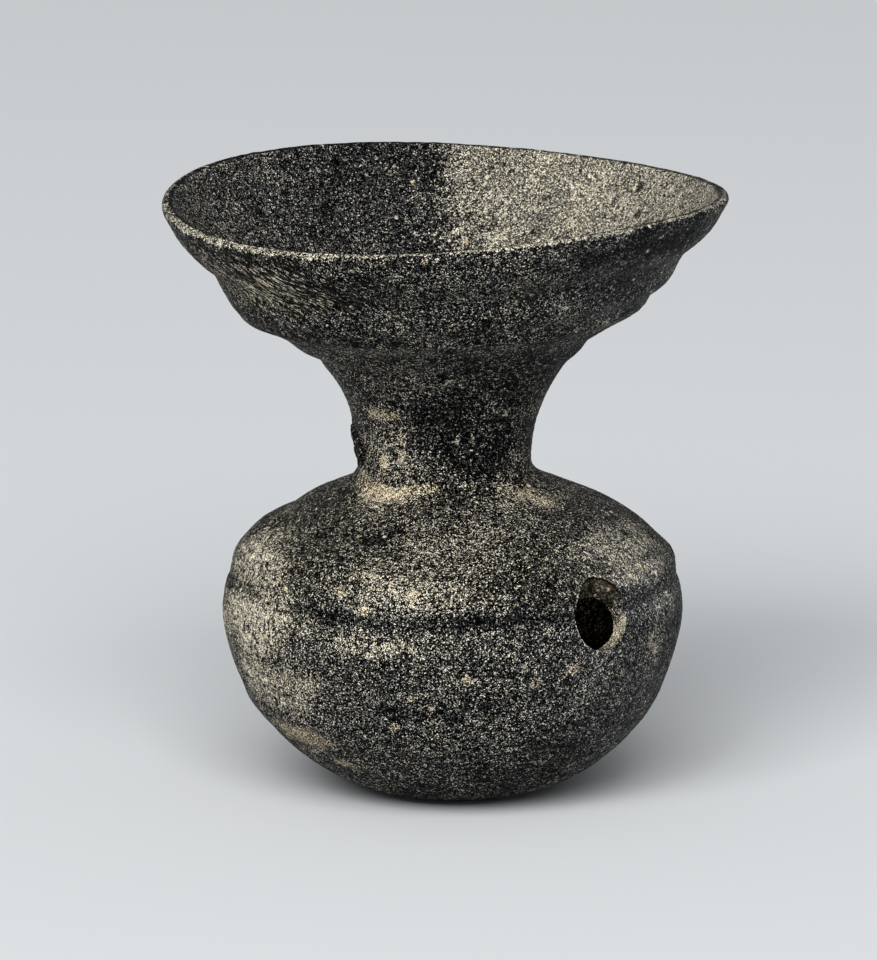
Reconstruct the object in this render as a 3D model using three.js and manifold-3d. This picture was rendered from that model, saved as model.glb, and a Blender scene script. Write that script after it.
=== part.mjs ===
// A wide-mouthed stoneware jar with a round spout hole in its belly.
//
// Millimetres, +Z up. The origin is on the axis of the body, in the plane of the standing face.
// The spout hole faces -Y. The jar is a fired pot: each mesh is one section that the potter
// formed and luted to the next, or a lump of ash that the kiln left on it.

import * as THREE from "three";
import { mergeVertices } from "three/addons/utils/BufferGeometryUtils.js";
import Module from "manifold-3d";

// Heights of the sections, from the foot upwards

const BOWL_RISE = 17.3;
const LOWER_WALL_RISE = 18;
const LOWER_WALL_TO_WIDEST = 6;
const WIDEST_TO_CORNER = 10.4;
const CORNER_TO_BAND_TOP = 8.6;
const CORNER_TO_NECK_SEAT = 19.2;
const FILLET_RISE = 5.2;
const FILLET_EDGE = 0.4;
const THROAT_RISE = 18.2;
const FLARE_RISE = 17.1;
const MOUTH_RISE = 25.9;

// Outer radii

const FOOT_RADIUS = 14;
const BELLY_RADIUS = 52.6;
const NECK_RADIUS = 19.7;
const MOUTH_CORNER_RADIUS = 45.2;
const LIP_RADIUS = 65.4;

// How far the bowl's edge and the shoulder's corner lie inside the belly, and how far the
// fillet's foot lies outside the neck

const BOWL_SETBACK = 8.1;
const SHOULDER_CORNER_SETBACK = 1.75;
const FILLET_REACH = 3.9;

// Wall thicknesses, square to the wall

const FLOOR_THICKNESS = 6.5;
const BELLY_WALL = 4.8;
const SHOULDER_WALL = 4.8;
const NECK_WALL = 4.6;
const MOUTH_CORNER_WALL = 4.2;
const LIP_WALL = 3;
const LIP_ROUNDING = 1.2;

// Fullness of the curves: 1 is straight, and a larger power keeps the curve flat for longer

const BOWL_POWER = 0.5;
const LOWER_WALL_POWER = 1.66;
const BAND_POWER = 1.6;
const SHOULDER_POWER = 1.75;
const FILLET_POWER = 2.2;
const FLARE_POWER = 3.44;
const FLARE_STRAIGHT_SHARE = 0.217;
const MOUTH_POWER = 0.894;
const MOUTH_SWELL = 0.4;

// The tooled groove in the belly band

const WIDEST_TO_GROOVE = 8;
const GROOVE_WIDTH = 3.2;
const GROOVE_DEPTH = 0.5;

// The spout hole, a funnel that narrows and drops towards the inside

const WIDEST_TO_SPOUT = 7.4;
const SPOUT_WIDTH = 15.2;
const SPOUT_HEIGHT = 16.6;
const SPOUT_INNER_WIDTH = 14.4;
const SPOUT_INNER_HEIGHT = 12.2;
const SPOUT_DROP = 3.3;
const SPOUT_CUT_MARGIN = 4;
const SPOUT_SEGMENTS = 28;

// Where the hand-made pot departs from a true round: the neck stands off the body's axis and
// the base off it the other way, the mouth leans, and the lip dips twice around its circle like
// a saddle

const CROOKED_HEADING_DEGREES = 140.5;
const NECK_OFFSET = 1.67;
const BASE_OFFSET = 0.86;
const BASE_OFFSET_RISE = 30;
const MOUTH_CORNER_LEAN = 0.035;
const LIP_LEAN = 0.011;
const LIP_SADDLE = 1.8;

// Kiln crusts: where they lie, half their size along the wall, and how far they stand proud

const CRUST_GAP = 0.35;
const NECK_CRUST = { heading: 147, fromWaist: 3.9, halfWidth: 6, halfHeight: 5.2, proud: 1.3 };
const SHOULDER_CRUST = { heading: 144.5, fromWaist: -14.9, halfWidth: 5, halfHeight: 3.6, proud: 1.2 };

// Mesh fineness

const SEGMENTS = 48;
const OUTLINE_SAMPLES = 320;
const FLOOR_EASE = 0.2;
const LIP_EDGE_SHARES = [0.2, 0.5, 0.8];
const GROWN_OUTLINE_STEPS = 90;
const CRUST_SEGMENTS = 16;
const CRUST_RINGS = 12;
const WELD_REACH = 1e-4;

// Heights of the seams and of the turning points of the outline

const BOWL_TOP = BOWL_RISE;
const LOWER_WALL_TOP = BOWL_TOP + LOWER_WALL_RISE;
const WIDEST = LOWER_WALL_TOP + LOWER_WALL_TO_WIDEST;
const SHOULDER_CORNER = WIDEST + WIDEST_TO_CORNER;
const BAND_TOP = SHOULDER_CORNER + CORNER_TO_BAND_TOP;
const NECK_SEAT = SHOULDER_CORNER + CORNER_TO_NECK_SEAT;
const WAIST = NECK_SEAT + FILLET_RISE;
const FILLET_TOP = WAIST - FILLET_EDGE;
const THROAT_TOP = WAIST + THROAT_RISE;
const MOUTH_CORNER = THROAT_TOP + FLARE_RISE;
const JAR_TOP = MOUTH_CORNER + MOUTH_RISE;

// Radii at the bowl's edge, at the shoulder's corner and at the foot of the fillet

const BOWL_RADIUS = BELLY_RADIUS - BOWL_SETBACK;
const SHOULDER_CORNER_RADIUS = BELLY_RADIUS - SHOULDER_CORNER_SETBACK;
const FILLET_RADIUS = NECK_RADIUS + FILLET_REACH;

const mix = THREE.MathUtils.lerp;
const share = (value, low, high) => THREE.MathUtils.clamp((value - low) / (high - low), 0, 1);

// The outer radius at a height, as one smooth skin without the groove.
function outerRadius(z) {
  if (z <= BOWL_TOP) {
    return mix(FOOT_RADIUS, BOWL_RADIUS, share(z, 0, BOWL_TOP) ** BOWL_POWER);
  }
  if (z <= WIDEST) {
    return mix(BELLY_RADIUS, BOWL_RADIUS, (1 - share(z, BOWL_TOP, WIDEST)) ** LOWER_WALL_POWER);
  }
  if (z <= SHOULDER_CORNER) {
    return mix(BELLY_RADIUS, SHOULDER_CORNER_RADIUS, share(z, WIDEST, SHOULDER_CORNER) ** BAND_POWER);
  }
  if (z <= NECK_SEAT) {
    const rise = share(z, SHOULDER_CORNER, NECK_SEAT) ** SHOULDER_POWER;
    return mix(SHOULDER_CORNER_RADIUS, FILLET_RADIUS, rise);
  }
  if (z <= WAIST) {
    return mix(NECK_RADIUS, FILLET_RADIUS, (1 - share(z, NECK_SEAT, WAIST)) ** FILLET_POWER);
  }
  if (z <= MOUTH_CORNER) {
    const rise = share(z, WAIST, MOUTH_CORNER);
    const opening = mix(rise ** FLARE_POWER, rise, FLARE_STRAIGHT_SHARE);
    return mix(NECK_RADIUS, MOUTH_CORNER_RADIUS, opening);
  }
  const rise = share(z, MOUTH_CORNER, JAR_TOP);
  const swell = MOUTH_SWELL * Math.sin(2 * Math.PI * rise);
  return mix(MOUTH_CORNER_RADIUS, LIP_RADIUS, rise ** MOUTH_POWER) - swell;
}

// The wall's thickness at a height of the outer skin.
function wallThickness(z) {
  if (z <= WIDEST) return mix(FLOOR_THICKNESS, BELLY_WALL, share(z, 0, WIDEST));
  if (z <= NECK_SEAT) return mix(BELLY_WALL, SHOULDER_WALL, share(z, WIDEST, NECK_SEAT));
  if (z <= WAIST) return mix(SHOULDER_WALL, NECK_WALL, share(z, NECK_SEAT, WAIST));
  if (z <= MOUTH_CORNER) return mix(NECK_WALL, MOUTH_CORNER_WALL, share(z, WAIST, MOUTH_CORNER));
  return mix(MOUTH_CORNER_WALL, LIP_WALL, share(z, MOUTH_CORNER, JAR_TOP));
}

// The inner skin: each point of the outer one, moved inwards by the wall's thickness, with the
// points left out that would fold back at the mouth corner.
function makeInnerSkin() {
  const skin = [];
  for (let i = 0; i <= OUTLINE_SAMPLES; i++) {
    const z = (JAR_TOP * i) / OUTLINE_SAMPLES;
    const step = JAR_TOP / OUTLINE_SAMPLES / 2;
    const low = Math.max(z - step, 0);
    const high = Math.min(z + step, JAR_TOP);
    const along = new THREE.Vector2(outerRadius(high) - outerRadius(low), high - low).normalize();
    const wall = wallThickness(z);
    const point = new THREE.Vector2(outerRadius(z) - along.y * wall, z + along.x * wall);
    if (skin.length === 0 || point.y > skin[skin.length - 1].y) skin.push(point);
  }
  return skin;
}

const innerSkin = makeInnerSkin();

function innerRadius(z) {
  const above = innerSkin.findIndex((point) => point.y > z);
  if (above === 0) return innerSkin[0].x;
  const high = innerSkin[above];
  const low = innerSkin[above - 1];
  return mix(low.x, high.x, share(z, low.y, high.y));
}

// Heights in equal steps, both ends included.
function heights(low, high, steps) {
  return Array.from({ length: steps + 1 }, (_, i) => mix(low, high, i / steps));
}

const outerPoints = (levels) => levels.map((z) => new THREE.Vector2(outerRadius(z), z));
const innerPoints = (levels) => levels.map((z) => new THREE.Vector2(innerRadius(z), z)).reverse();

// The crooked set of neck, mouth and lip, as a displacement of every point by its place.
function settle(geometry) {
  const heading = THREE.MathUtils.degToRad(CROOKED_HEADING_DEGREES);
  const towards = new THREE.Vector2(Math.cos(heading), Math.sin(heading));
  const position = geometry.getAttribute("position");
  for (let i = 0; i < position.count; i++) {
    const [x, y, z] = [position.getX(i), position.getY(i), position.getZ(i)];
    const along = x * towards.x + y * towards.y;
    const across = y * towards.x - x * towards.y;
    const neckOffset = NECK_OFFSET * THREE.MathUtils.smoothstep(z, BAND_TOP, WAIST);
    const offset = neckOffset - BASE_OFFSET * (1 - share(z, 0, BASE_OFFSET_RISE));
    const leanBelow = MOUTH_CORNER_LEAN * share(z, WAIST, MOUTH_CORNER);
    const lean = mix(leanBelow, LIP_LEAN, share(z, MOUTH_CORNER, JAR_TOP));
    const saddle = (2 * along * across) / Math.max(along ** 2 + across ** 2, 1);
    const dip = LIP_SADDLE * saddle * share(z, MOUTH_CORNER, JAR_TOP);
    position.setXYZ(i, x + offset * towards.x, y + offset * towards.y, z - lean * along - dip);
  }
  return geometry;
}

// Joins the seam of a revolved or round geometry and drops the triangles that have no area.
function weld(geometry) {
  geometry.deleteAttribute("normal");
  geometry.deleteAttribute("uv");
  const merged = mergeVertices(geometry, WELD_REACH);
  const corners = [];
  for (let i = 0; i < merged.index.count; i += 3) {
    const [a, b, c] = [merged.index.getX(i), merged.index.getX(i + 1), merged.index.getX(i + 2)];
    if (a !== b && b !== c && c !== a) corners.push(a, b, c);
  }
  merged.setIndex(corners);
  return merged;
}

// A profile of radius and height, turned once around +Z.
function turned(points) {
  return weld(new THREE.LatheGeometry(points, SEGMENTS).rotateX(Math.PI / 2));
}

// A ring of wall between two seams.
function wallRing(outerLevels, innerLevels) {
  const outer = outerPoints(outerLevels);
  return settle(turned([...outer, ...innerPoints(innerLevels), outer[0].clone()]));
}

const wasm = await Module();
wasm.setup();

function solidOf(geometry) {
  const vertProperties = new Float32Array(geometry.getAttribute("position").array);
  const triVerts = new Uint32Array(geometry.index.array);
  return new wasm.Manifold(new wasm.Mesh({ numProp: 3, vertProperties, triVerts }));
}

function geometryOf(solid) {
  const mesh = solid.getMesh();
  const geometry = new THREE.BufferGeometry();
  geometry.setAttribute("position", new THREE.BufferAttribute(mesh.vertProperties, 3));
  geometry.setIndex(new THREE.BufferAttribute(mesh.triVerts, 1));
  return geometry;
}

// The paddled bottom, closed, with its small flattened standing face.
function makeBaseBowl() {
  const outer = outerPoints([...heights(0, BOWL_TOP / 3, 4), ...heights(BOWL_TOP / 3, BOWL_TOP, 3).slice(1)]);
  const inner = innerPoints(heights(FLOOR_THICKNESS + FLOOR_EASE, BOWL_TOP, 5));
  const floor = [new THREE.Vector2(FOOT_RADIUS, FLOOR_THICKNESS), new THREE.Vector2(0, FLOOR_THICKNESS)];
  return settle(turned([new THREE.Vector2(0, 0), ...outer, ...inner, ...floor]));
}

function makeLowerWall() {
  return wallRing(heights(BOWL_TOP, LOWER_WALL_TOP, 4), heights(BOWL_TOP, LOWER_WALL_TOP, 3));
}

// The funnel that is cut out for the spout hole: narrower on the inside, where it also lies lower.
function makeSpoutCutter() {
  const reach = BELLY_WALL + 2 * SPOUT_CUT_MARGIN;
  const level = WIDEST + WIDEST_TO_SPOUT;
  const funnel = new THREE.CylinderGeometry(0.5, 0.5, reach, SPOUT_SEGMENTS).translate(0, BELLY_WALL / 2, 0);
  const position = funnel.getAttribute("position");
  for (let i = 0; i < position.count; i++) {
    const [x, y, z] = [position.getX(i), position.getY(i), position.getZ(i)];
    const inwards = y / BELLY_WALL;
    const width = mix(SPOUT_WIDTH, SPOUT_INNER_WIDTH, inwards);
    const height = mix(SPOUT_HEIGHT, SPOUT_INNER_HEIGHT, inwards);
    position.setXYZ(i, x * width, y, z * height - SPOUT_DROP * inwards);
  }
  return weld(funnel.translate(0, -outerRadius(level), level));
}

function makeBellyBand() {
  const groove = WIDEST + WIDEST_TO_GROOVE;
  const belowGroove = [LOWER_WALL_TOP, WIDEST, groove - GROOVE_WIDTH / 2];
  const aboveGroove = [groove + GROOVE_WIDTH / 2, ...heights(SHOULDER_CORNER, BAND_TOP, 2)];
  const bottomOfGroove = new THREE.Vector2(outerRadius(groove) - GROOVE_DEPTH, groove);
  const outer = [...outerPoints(belowGroove), bottomOfGroove, ...outerPoints(aboveGroove)];
  const inner = innerPoints(heights(LOWER_WALL_TOP, BAND_TOP, 5));
  const ring = settle(turned([...outer, ...inner, outer[0].clone()]));
  return geometryOf(solidOf(ring).subtract(solidOf(makeSpoutCutter())));
}

function makeShoulder() {
  return wallRing(heights(BAND_TOP, NECK_SEAT, 5), heights(BAND_TOP, NECK_SEAT, 6));
}

// The concave fillet round the foot of the neck: it stands on the shoulder's seat.
function makeLutingCoil() {
  const outer = outerPoints(heights(NECK_SEAT, FILLET_TOP, 4));
  const inside = [FILLET_TOP, NECK_SEAT].map((z) => new THREE.Vector2(NECK_RADIUS, z));
  return settle(turned([...outer, ...inside, outer[0].clone()]));
}

function makeNeck() {
  const foot = [NECK_SEAT, FILLET_TOP].map((z) => new THREE.Vector2(NECK_RADIUS, z));
  const outer = [...foot, ...outerPoints(heights(WAIST, THROAT_TOP, 4))];
  const inner = innerPoints(heights(NECK_SEAT, THROAT_TOP, 6));
  return settle(turned([...outer, ...inner, outer[0].clone()]));
}

function makeMouthFlare() {
  return wallRing(heights(THROAT_TOP, MOUTH_CORNER, 6), heights(THROAT_TOP, MOUTH_CORNER, 5));
}

// The tall mouth, with a lip that is rounded over on both edges.
function makeMouthBowl() {
  const rounding = JAR_TOP - LIP_ROUNDING;
  const outer = outerPoints([MOUTH_CORNER, ...heights(MOUTH_CORNER + MOUTH_RISE / 8, rounding, 5)]);
  const inner = innerPoints(heights(MOUTH_CORNER, rounding, 6));
  const [outerEdge, innerEdge] = [outer[outer.length - 1], inner[0]];
  const lip = LIP_EDGE_SHARES.map((across) => {
    const height = rounding + LIP_ROUNDING * Math.sqrt(1 - (2 * across - 1) ** 2);
    return new THREE.Vector2(mix(outerEdge.x, innerEdge.x, across), height);
  });
  return settle(turned([...outer, ...lip, ...inner, outer[0].clone()]));
}

// A solid that fills the jar's outline, grown by the gap that a crust keeps to the wall.
function makeGrownOutline() {
  const levels = heights(0, JAR_TOP, GROWN_OUTLINE_STEPS);
  const outline = levels.map((z) => new THREE.Vector2(outerRadius(z) + CRUST_GAP, z));
  return settle(turned([new THREE.Vector2(0, 0), ...outline, new THREE.Vector2(0, JAR_TOP)]));
}

// A lump of ash on the wall: a flattened ball that bulges out of the outline, less the outline.
function makeCrust({ heading, fromWaist, halfWidth, halfHeight, proud }) {
  const height = WAIST + fromWaist;
  const above = height + halfHeight / 2;
  const below = height - halfHeight / 2;
  const slope = (outerRadius(above) - outerRadius(below)) / (above - below);
  const ball = new THREE.SphereGeometry(1, CRUST_SEGMENTS, CRUST_RINGS)
    .scale(proud + CRUST_GAP, halfWidth, halfHeight)
    .rotateY(Math.atan(slope))
    .translate(outerRadius(height), 0, height)
    .rotateZ(THREE.MathUtils.degToRad(heading));
  return geometryOf(solidOf(settle(weld(ball))).subtract(solidOf(makeGrownOutline())));
}

// Unglazed ash-specked stoneware, a little lighter where more ash fell

const stoneware = (color) => new THREE.MeshStandardMaterial({ color, roughness: 0.85, metalness: 0 });

const sections = [
  ["base_bowl", makeBaseBowl(), stoneware(0x3b3a38)],
  ["lower_wall", makeLowerWall(), stoneware(0x403f3d)],
  ["belly_band", makeBellyBand(), stoneware(0x474644)],
  ["shoulder", makeShoulder(), stoneware(0x4a4a49)],
  ["neck_luting_coil", makeLutingCoil(), stoneware(0x6b6150)],
  ["neck", makeNeck(), stoneware(0x4b4945)],
  ["mouth_flare", makeMouthFlare(), stoneware(0x454547)],
  ["mouth_bowl", makeMouthBowl(), stoneware(0x48494b)],
  ["neck_kiln_crust", makeCrust(NECK_CRUST), stoneware(0x6f6350)],
  ["shoulder_kiln_crust", makeCrust(SHOULDER_CRUST), stoneware(0x7d7461)],
];

const jar = new THREE.Group();
for (const [name, geometry, material] of sections) {
  const mesh = new THREE.Mesh(geometry, material);
  mesh.name = name;
  jar.add(mesh);
}

export default jar;
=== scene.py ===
"""The fired skin of a wide-mouthed stoneware jar with a spout hole, built over its fixed frame of solids."""
import itertools
import math
from collections import namedtuple

import bpy
import numpy as np
from bpy.props import FloatProperty, FloatVectorProperty, IntProperty, PointerProperty
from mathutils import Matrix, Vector


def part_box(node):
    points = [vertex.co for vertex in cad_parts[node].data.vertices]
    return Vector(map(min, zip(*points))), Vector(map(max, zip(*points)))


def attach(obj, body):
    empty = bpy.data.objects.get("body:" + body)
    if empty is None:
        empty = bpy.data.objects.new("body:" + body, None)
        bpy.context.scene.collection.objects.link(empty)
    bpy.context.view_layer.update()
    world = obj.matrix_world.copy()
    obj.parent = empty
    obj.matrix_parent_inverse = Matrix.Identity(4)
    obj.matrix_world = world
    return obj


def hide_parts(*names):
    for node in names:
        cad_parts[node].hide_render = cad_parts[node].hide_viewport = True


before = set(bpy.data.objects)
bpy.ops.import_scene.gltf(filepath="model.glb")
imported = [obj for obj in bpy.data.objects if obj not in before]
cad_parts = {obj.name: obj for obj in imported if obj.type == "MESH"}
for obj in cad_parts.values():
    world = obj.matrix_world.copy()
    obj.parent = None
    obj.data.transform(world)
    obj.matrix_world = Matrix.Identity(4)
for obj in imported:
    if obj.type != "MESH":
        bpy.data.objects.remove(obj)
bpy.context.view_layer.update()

bl_info = {
    "name": "Stoneware jar with a spout hole",
    "version": (1, 0, 0),
    "blender": (4, 5, 0),
    "location": "3D View > Sidebar > Jar",
    "description": "Builds the fired skin, the kiln crusts and the studio of a wide-mouthed stoneware jar",
    "category": "Add Mesh",
}

MM = 0.001
TURN = 2 * math.pi

# Seams between the sections, from the frame of solids

BASE_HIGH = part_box("base_bowl")[1].z
WALL_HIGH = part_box("lower_wall")[1].z
BAND_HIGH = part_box("belly_band")[1].z
SEAT_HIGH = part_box("neck")[0].z

# Fullness of the outline's curves, the same as the solids'

BOWL_POWER = 0.5
LOWER_WALL_POWER = 1.66
BAND_POWER = 1.6
SHOULDER_POWER = 1.75
FILLET_POWER = 2.2
FLARE_POWER = 3.44
FLARE_STRAIGHT_SHARE = 0.217
MOUTH_POWER = 0.894

# The crooked set of neck, base and lip, the same as the solids'

CROOKED_HEADING = math.radians(140.5)
NECK_OFFSET = 1.67 * MM
BASE_OFFSET = 0.86 * MM
BASE_OFFSET_RISE = 30 * MM
MOUTH_CORNER_LEAN = 0.035
LIP_LEAN = 0.011
LIP_SADDLE = 1.8 * MM

# Headings are turned from +X towards +Y. The photograph is taken from the viewing side, so its right
# is a quarter turn further on.

VIEWING_SIDE = math.radians(-131)
RIGHT_SIDE = VIEWING_SIDE + TURN / 4
SPOUT_HEADING = -TURN / 4

# Fineness of the section line, and how far its corners are rounded

LINE_STEP = 0.1 * MM
CORNER_EASE = 0.6 * MM

# How far the neck's hidden foot and the coil's bore lie inside the waist

HIDDEN_FOOT_DEEP = 0.9 * MM
COIL_BORE_DEEP = 0.8 * MM

# The spout hole's bore: the parts of its way inwards at which it has rings of points, the value of the
# attribute bore at its outer edge, how deep past the lip it counts, and how far the grid gives way to it

BORE_STEPS = np.array([0, 0.05, 0.12, 0.22, 0.34, 0.47, 0.6, 0.73, 0.85, 0.94, 1])
BORE_EDGE = 1.0
BORE_DEEP = 4.0
BLOCK_REACH = 1.29

# How far the skin's rounding reaches around the spout hole, as a share of its half width, how much narrower
# the hole is at its top, and how rough its bore is

RIM_DIP_REACH = 1.16
EGG_SHARE = 0.05
BORE_LUMP_HIGH = 0.5 * MM
BORE_GRIT_HIGH = 0.25 * MM

# The fillet's upper edge, below the waist, and how far along the wall the lip is rippled

FILLET_EDGE = 0.4 * MM
LIP_RIPPLE_REACH = 1.6 * MM

# Points on the section line before it is spaced out evenly, on the bottom and over the lip, and the size
# below which a length in the hole's grid counts as nothing

BOTTOM_SAMPLES = 400
LIP_SAMPLES = 30
NEXT_TO_NOTHING = 1e-6

# Noise in the relief: how many corners its lattice of random directions has along each side before it
# repeats, and for each kind of noise the size of the lattice's cells and the seed of the directions

LATTICE_SIZE = 32
Noise = namedtuple("Noise", "cell seed")
DENTS = Noise(31 * MM, 1)
WAVES = Noise(12 * MM, 2)
LUMPS = Noise(4.4 * MM, 3)
GRIT = Noise(1.7 * MM, 4)
WANDER = Noise(9 * MM, 5)
TURNING_FADE = Noise(15 * MM, 6)
GROOVE_FADE = Noise(20 * MM, 7)
PITS = Noise(2.3 * MM, 8)
ASH_LUMPS = Noise(1.3 * MM, 9)
LIP_WAVES = Noise(9 * MM, 10)
LIP_CRUMBS = Noise(2.6 * MM, 11)
BORE_LUMPS = Noise(3.0 * MM, 21)
BORE_GRIT = Noise(1.2 * MM, 22)

# The hand's and the wheel's rings on the outside. Each runs around the jar, from its height on the
# photograph's left to its height on the right, and stands out by one amount there and another here.
# All in millimetres.

Ring = namedtuple("Ring", "left_high left_out right_high right_out half_width")
RINGS = (
    Ring(131.0, 0.3, 130.0, 0.5, 2.2),
    Ring(122.3, -1.0, 123.7, -0.7, 1.9),
    Ring(115.4, 0.5, 118.4, 0.6, 1.5),
    Ring(112.3, 0.5, 114.7, -0.65, 1.1),
    Ring(104.7, 0.5, 104.4, -0.3, 1.2),
    Ring(101.3, -0.7, 102.0, 0.45, 1.1),
    Ring(90.0, -0.2, 83.5, -0.7, 4.5),
    Ring(70.5, -0.4, 70.5, 0.3, 2.5),
    Ring(63.2, -0.7, 64.5, 0.3, 1.6),
    Ring(60.2, 0.3, 57.5, -0.35, 1.6),
    Ring(52.0, -0.3, 53.5, 0.3, 1.2),
    Ring(21.7, 0.4, 21.5, 0.1, 1.6),
    Ring(16.0, -0.3, 17.0, -0.25, 2.0),
)

# Patches of colour: heading in degrees and height of the middle, half their width and height in
# millimetres, and their strength.

Patch = namedtuple("Patch", "heading height across up strength")
ASH_PATCHES = (
    Patch(158, 56, 26, 9, 1.0),
    Patch(166, 44, 30, 13, 1.0),
    Patch(170, 30, 26, 11, 0.85),
    Patch(-152, 43.5, 24, 4, 0.55),
    Patch(-67, 60, 24, 8, 0.2),
    Patch(176, 124, 30, 11, 0.4),
    Patch(-172, 71, 14, 4.5, 0.62),
    Patch(-82, 70.5, 15, 4, 0.43),
    Patch(-172, 80, 14, 13, 0.38),
    Patch(-70, 37, 7, 10, 0.3),
    Patch(-142, 60, 26, 9, 0.3),
)
TAN_PATCHES = (
    Patch(-182.5, 17.8, 13, 4.2, 1.0),
    Patch(-171, 11.8, 5, 1.5, 0.8),
    Patch(-198, 73.2, 5, 2.4, 0.9),
    Patch(-188, 72.3, 5.5, 2.6, 1.0),
    Patch(-177.5, 71.9, 5.5, 2.4, 1.0),
    Patch(-168, 72, 5.5, 2.2, 1.0),
    Patch(-159.8, 72.4, 5, 1.9, 0.9),
    Patch(-150, 73, 4, 1.5, 0.7),
    Patch(-139.8, 73.5, 2.2, 1.3, 0.9),
    Patch(-116.5, 74.1, 1.8, 1.2, 0.8),
    Patch(-91.2, 73, 3, 1.5, 0.6),
    Patch(-81, 71.2, 4.5, 1.7, 0.7),
    Patch(-77, 69.5, 4.5, 1.7, 0.6),
    Patch(-171.8, 90.2, 6.5, 2.2, 0.85),
    Patch(-176, 78.2, 2.8, 2.8, 1.0),
    Patch(-160, 85.1, 1.7, 1.4, 0.7),
    Patch(-158.5, 80.5, 3, 1.3, 0.5),
    Patch(-127.5, 36.4, 2.2, 1.7, 0.9),
    Patch(-99.2, 37.1, 2.3, 2.1, 0.9),
    Patch(-109.8, 35, 2, 1.5, 0.7),
    Patch(-154.5, 51.3, 2.4, 1.7, 0.8),
    Patch(-161.5, 55, 2.2, 1.6, 0.8),
    Patch(-141.5, 55, 2.2, 1.5, 0.8),
    Patch(-156.2, 58.5, 3.6, 0.7, 0.7),
    Patch(-69.8, 37.1, 2, 2.2, 0.6),
    Patch(-72.8, 39.6, 2, 2, 0.5),
)
# Dark blotches in the clay, and painted shade: the large patches darken the neck and the flare under the
# mouth, the mouth's outside on its right and the bowl low down, where the wall lies under the mouth or faces
# down
BLOTCH_AND_SHADE_PATCHES = (
    Patch(-157, 64.4, 8, 3, 0.8),
    Patch(-155, 70, 6, 2.6, 0.6),
    Patch(-121, 88, 17, 16, 0.9),
    Patch(-102, 84.4, 13, 12, 1.0),
    Patch(-72, 100, 40, 20, 0.7),
    Patch(-82, 132, 40, 6, 0.7),
    Patch(-112, 8, 34, 11, 0.6),
    Patch(-147.8, 27.7, 4.5, 2.8, 0.8),
    Patch(-137, 28.2, 4, 2.6, 0.8),
    Patch(-130, 25, 6, 3, 0.5),
)
# Painted highlights: these patches lighten and calm the clay where the lamps' reflection lies, on the
# shoulder and beside the spout hole
PAINTED_SHEEN_PATCHES = (
    Patch(-146.5, 54, 21, 7, 1.0),
    Patch(-72, 54.6, 24, 4.5, 1.0),
    Patch(-64, 47, 15, 6, 0.75),
    Patch(-71.5, 60, 26, 7, 0.75),
    Patch(-121.5, 66, 26, 7, 0.4),
)

# Where the potter wiped the mouth's outside, and the way of the wiping marks there

WIPED_PATCHES = (
    Patch(-177, 127, 34, 13, 1.0),
    Patch(-177, 112, 26, 9, 0.6),
)
WIPING_WAY = (0.485, -0.73, -0.482)

# Sizes in the finish, in millimetres: grains and noise, then specks by the size of their lattice's cells and
# their own radius

SAND_SIZE = 0.2
DRAWN_SAND_SIZE = 0.28
CRUST_SAND_SIZE = 0.24
GRIT_SIZE = 0.45
FINE_SIZE = 0.42
MOTTLE_SIZE = 1.3
CLOUD_SIZE = 8.0
BROAD_SIZE = 26.0
BANDS_SIZE = 9.0
WIPED_SIZE = 0.9
CRUMBS_SIZE = 0.9
RAGGED_SIZE = 0.7
Speck = namedtuple("Speck", "cell radius")
SMALL_SPECKS = Speck(1.0, 0.55)
MIDDLING_SPECKS = Speck(2.0, 1.0)
FLAKES = Speck(1.6, 1.3)
BLOBS = Speck(6.5, 1.5)
SMALL_PITS = Speck(1.7, 0.7)
LARGE_PITS = Speck(5.3, 1.7)
DARK_FLECKS = Speck(1.1, 0.5)

# Where the finish changes, in millimetres of height: each zone starts at the first and is full at the second

MOUTH_ZONE = (96.0, 104.0)
BODY_ZONE = (90.0, 70.0)
LIP_ZONE = (118.0, 124.0)
DOME_ZONE = (50.0, 56.0)
BELOW_NECK_ZONE = (80.0, 72.0)
SHOULDER_CRUST_ZONE = (74.0, 68.0)

# The lightest that clay and crusts get, the heights of their bumps, and how rough a crust is

CLAY_LIGHTEST = 0.95
CRUST_LIGHTEST = 0.7
CLAY_BUMP = 0.16 * MM
CRUST_BUMP = 0.3 * MM
CRUST_ROUGHNESS = 0.75

# Kiln crusts: where they lie, half their size along the wall in millimetres and how far they stand proud

Crust = namedtuple("Crust", "name heading height half_width half_height proud seed")
CRUSTS = (
    Crust("neck_kiln_crust", 147, 80.0, 5.6, 5.0, 1.1, 31),
    Crust("shoulder_kiln_crust", 144.5, 61.2, 4.8, 3.4, 1.0, 32),
)

# The crusts' grid, how far their inner half reaches in millimetres, how deep they sink into the skin, and how
# far up and down from their middle the wall's slope is measured

CRUST_ROWS = 40
CRUST_COLUMNS = 64
CRUST_ROOT = 2.2
CRUST_SUNK = 0.25 * MM
SLOPE_REACH = 2 * MM

# The height and the cell size of the crusts' crags and crumbs, on a ball of radius 1, what is added to a
# crust's seed for its crumbs, and the value of the attribute inward on a crust

CRAG_HIGH = 0.55
CRAG_CELL = 0.55
CRUMB_HIGH = 0.3
CRUMB_CELL = 0.22
CRUMB_SEED_STEP = 10
ON_THE_OUTSIDE = -50.0

# The studio's camera sees this far, in metres, and its floor is this dull

CAMERA_REACH = 100
FLOOR_ROUGHNESS = 0.9
FLOOR_GLOSS = 0.1


# Sizes, relief and colours that a user would change


def amount(name, description, default, **limits):
    """A property that is a plain number."""
    return FloatProperty(name=name, description=description, default=default, **limits)


def length(name, description, default):
    """A property that is a length in metres."""
    return amount(name, description, default, unit="LENGTH", precision=5)


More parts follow.
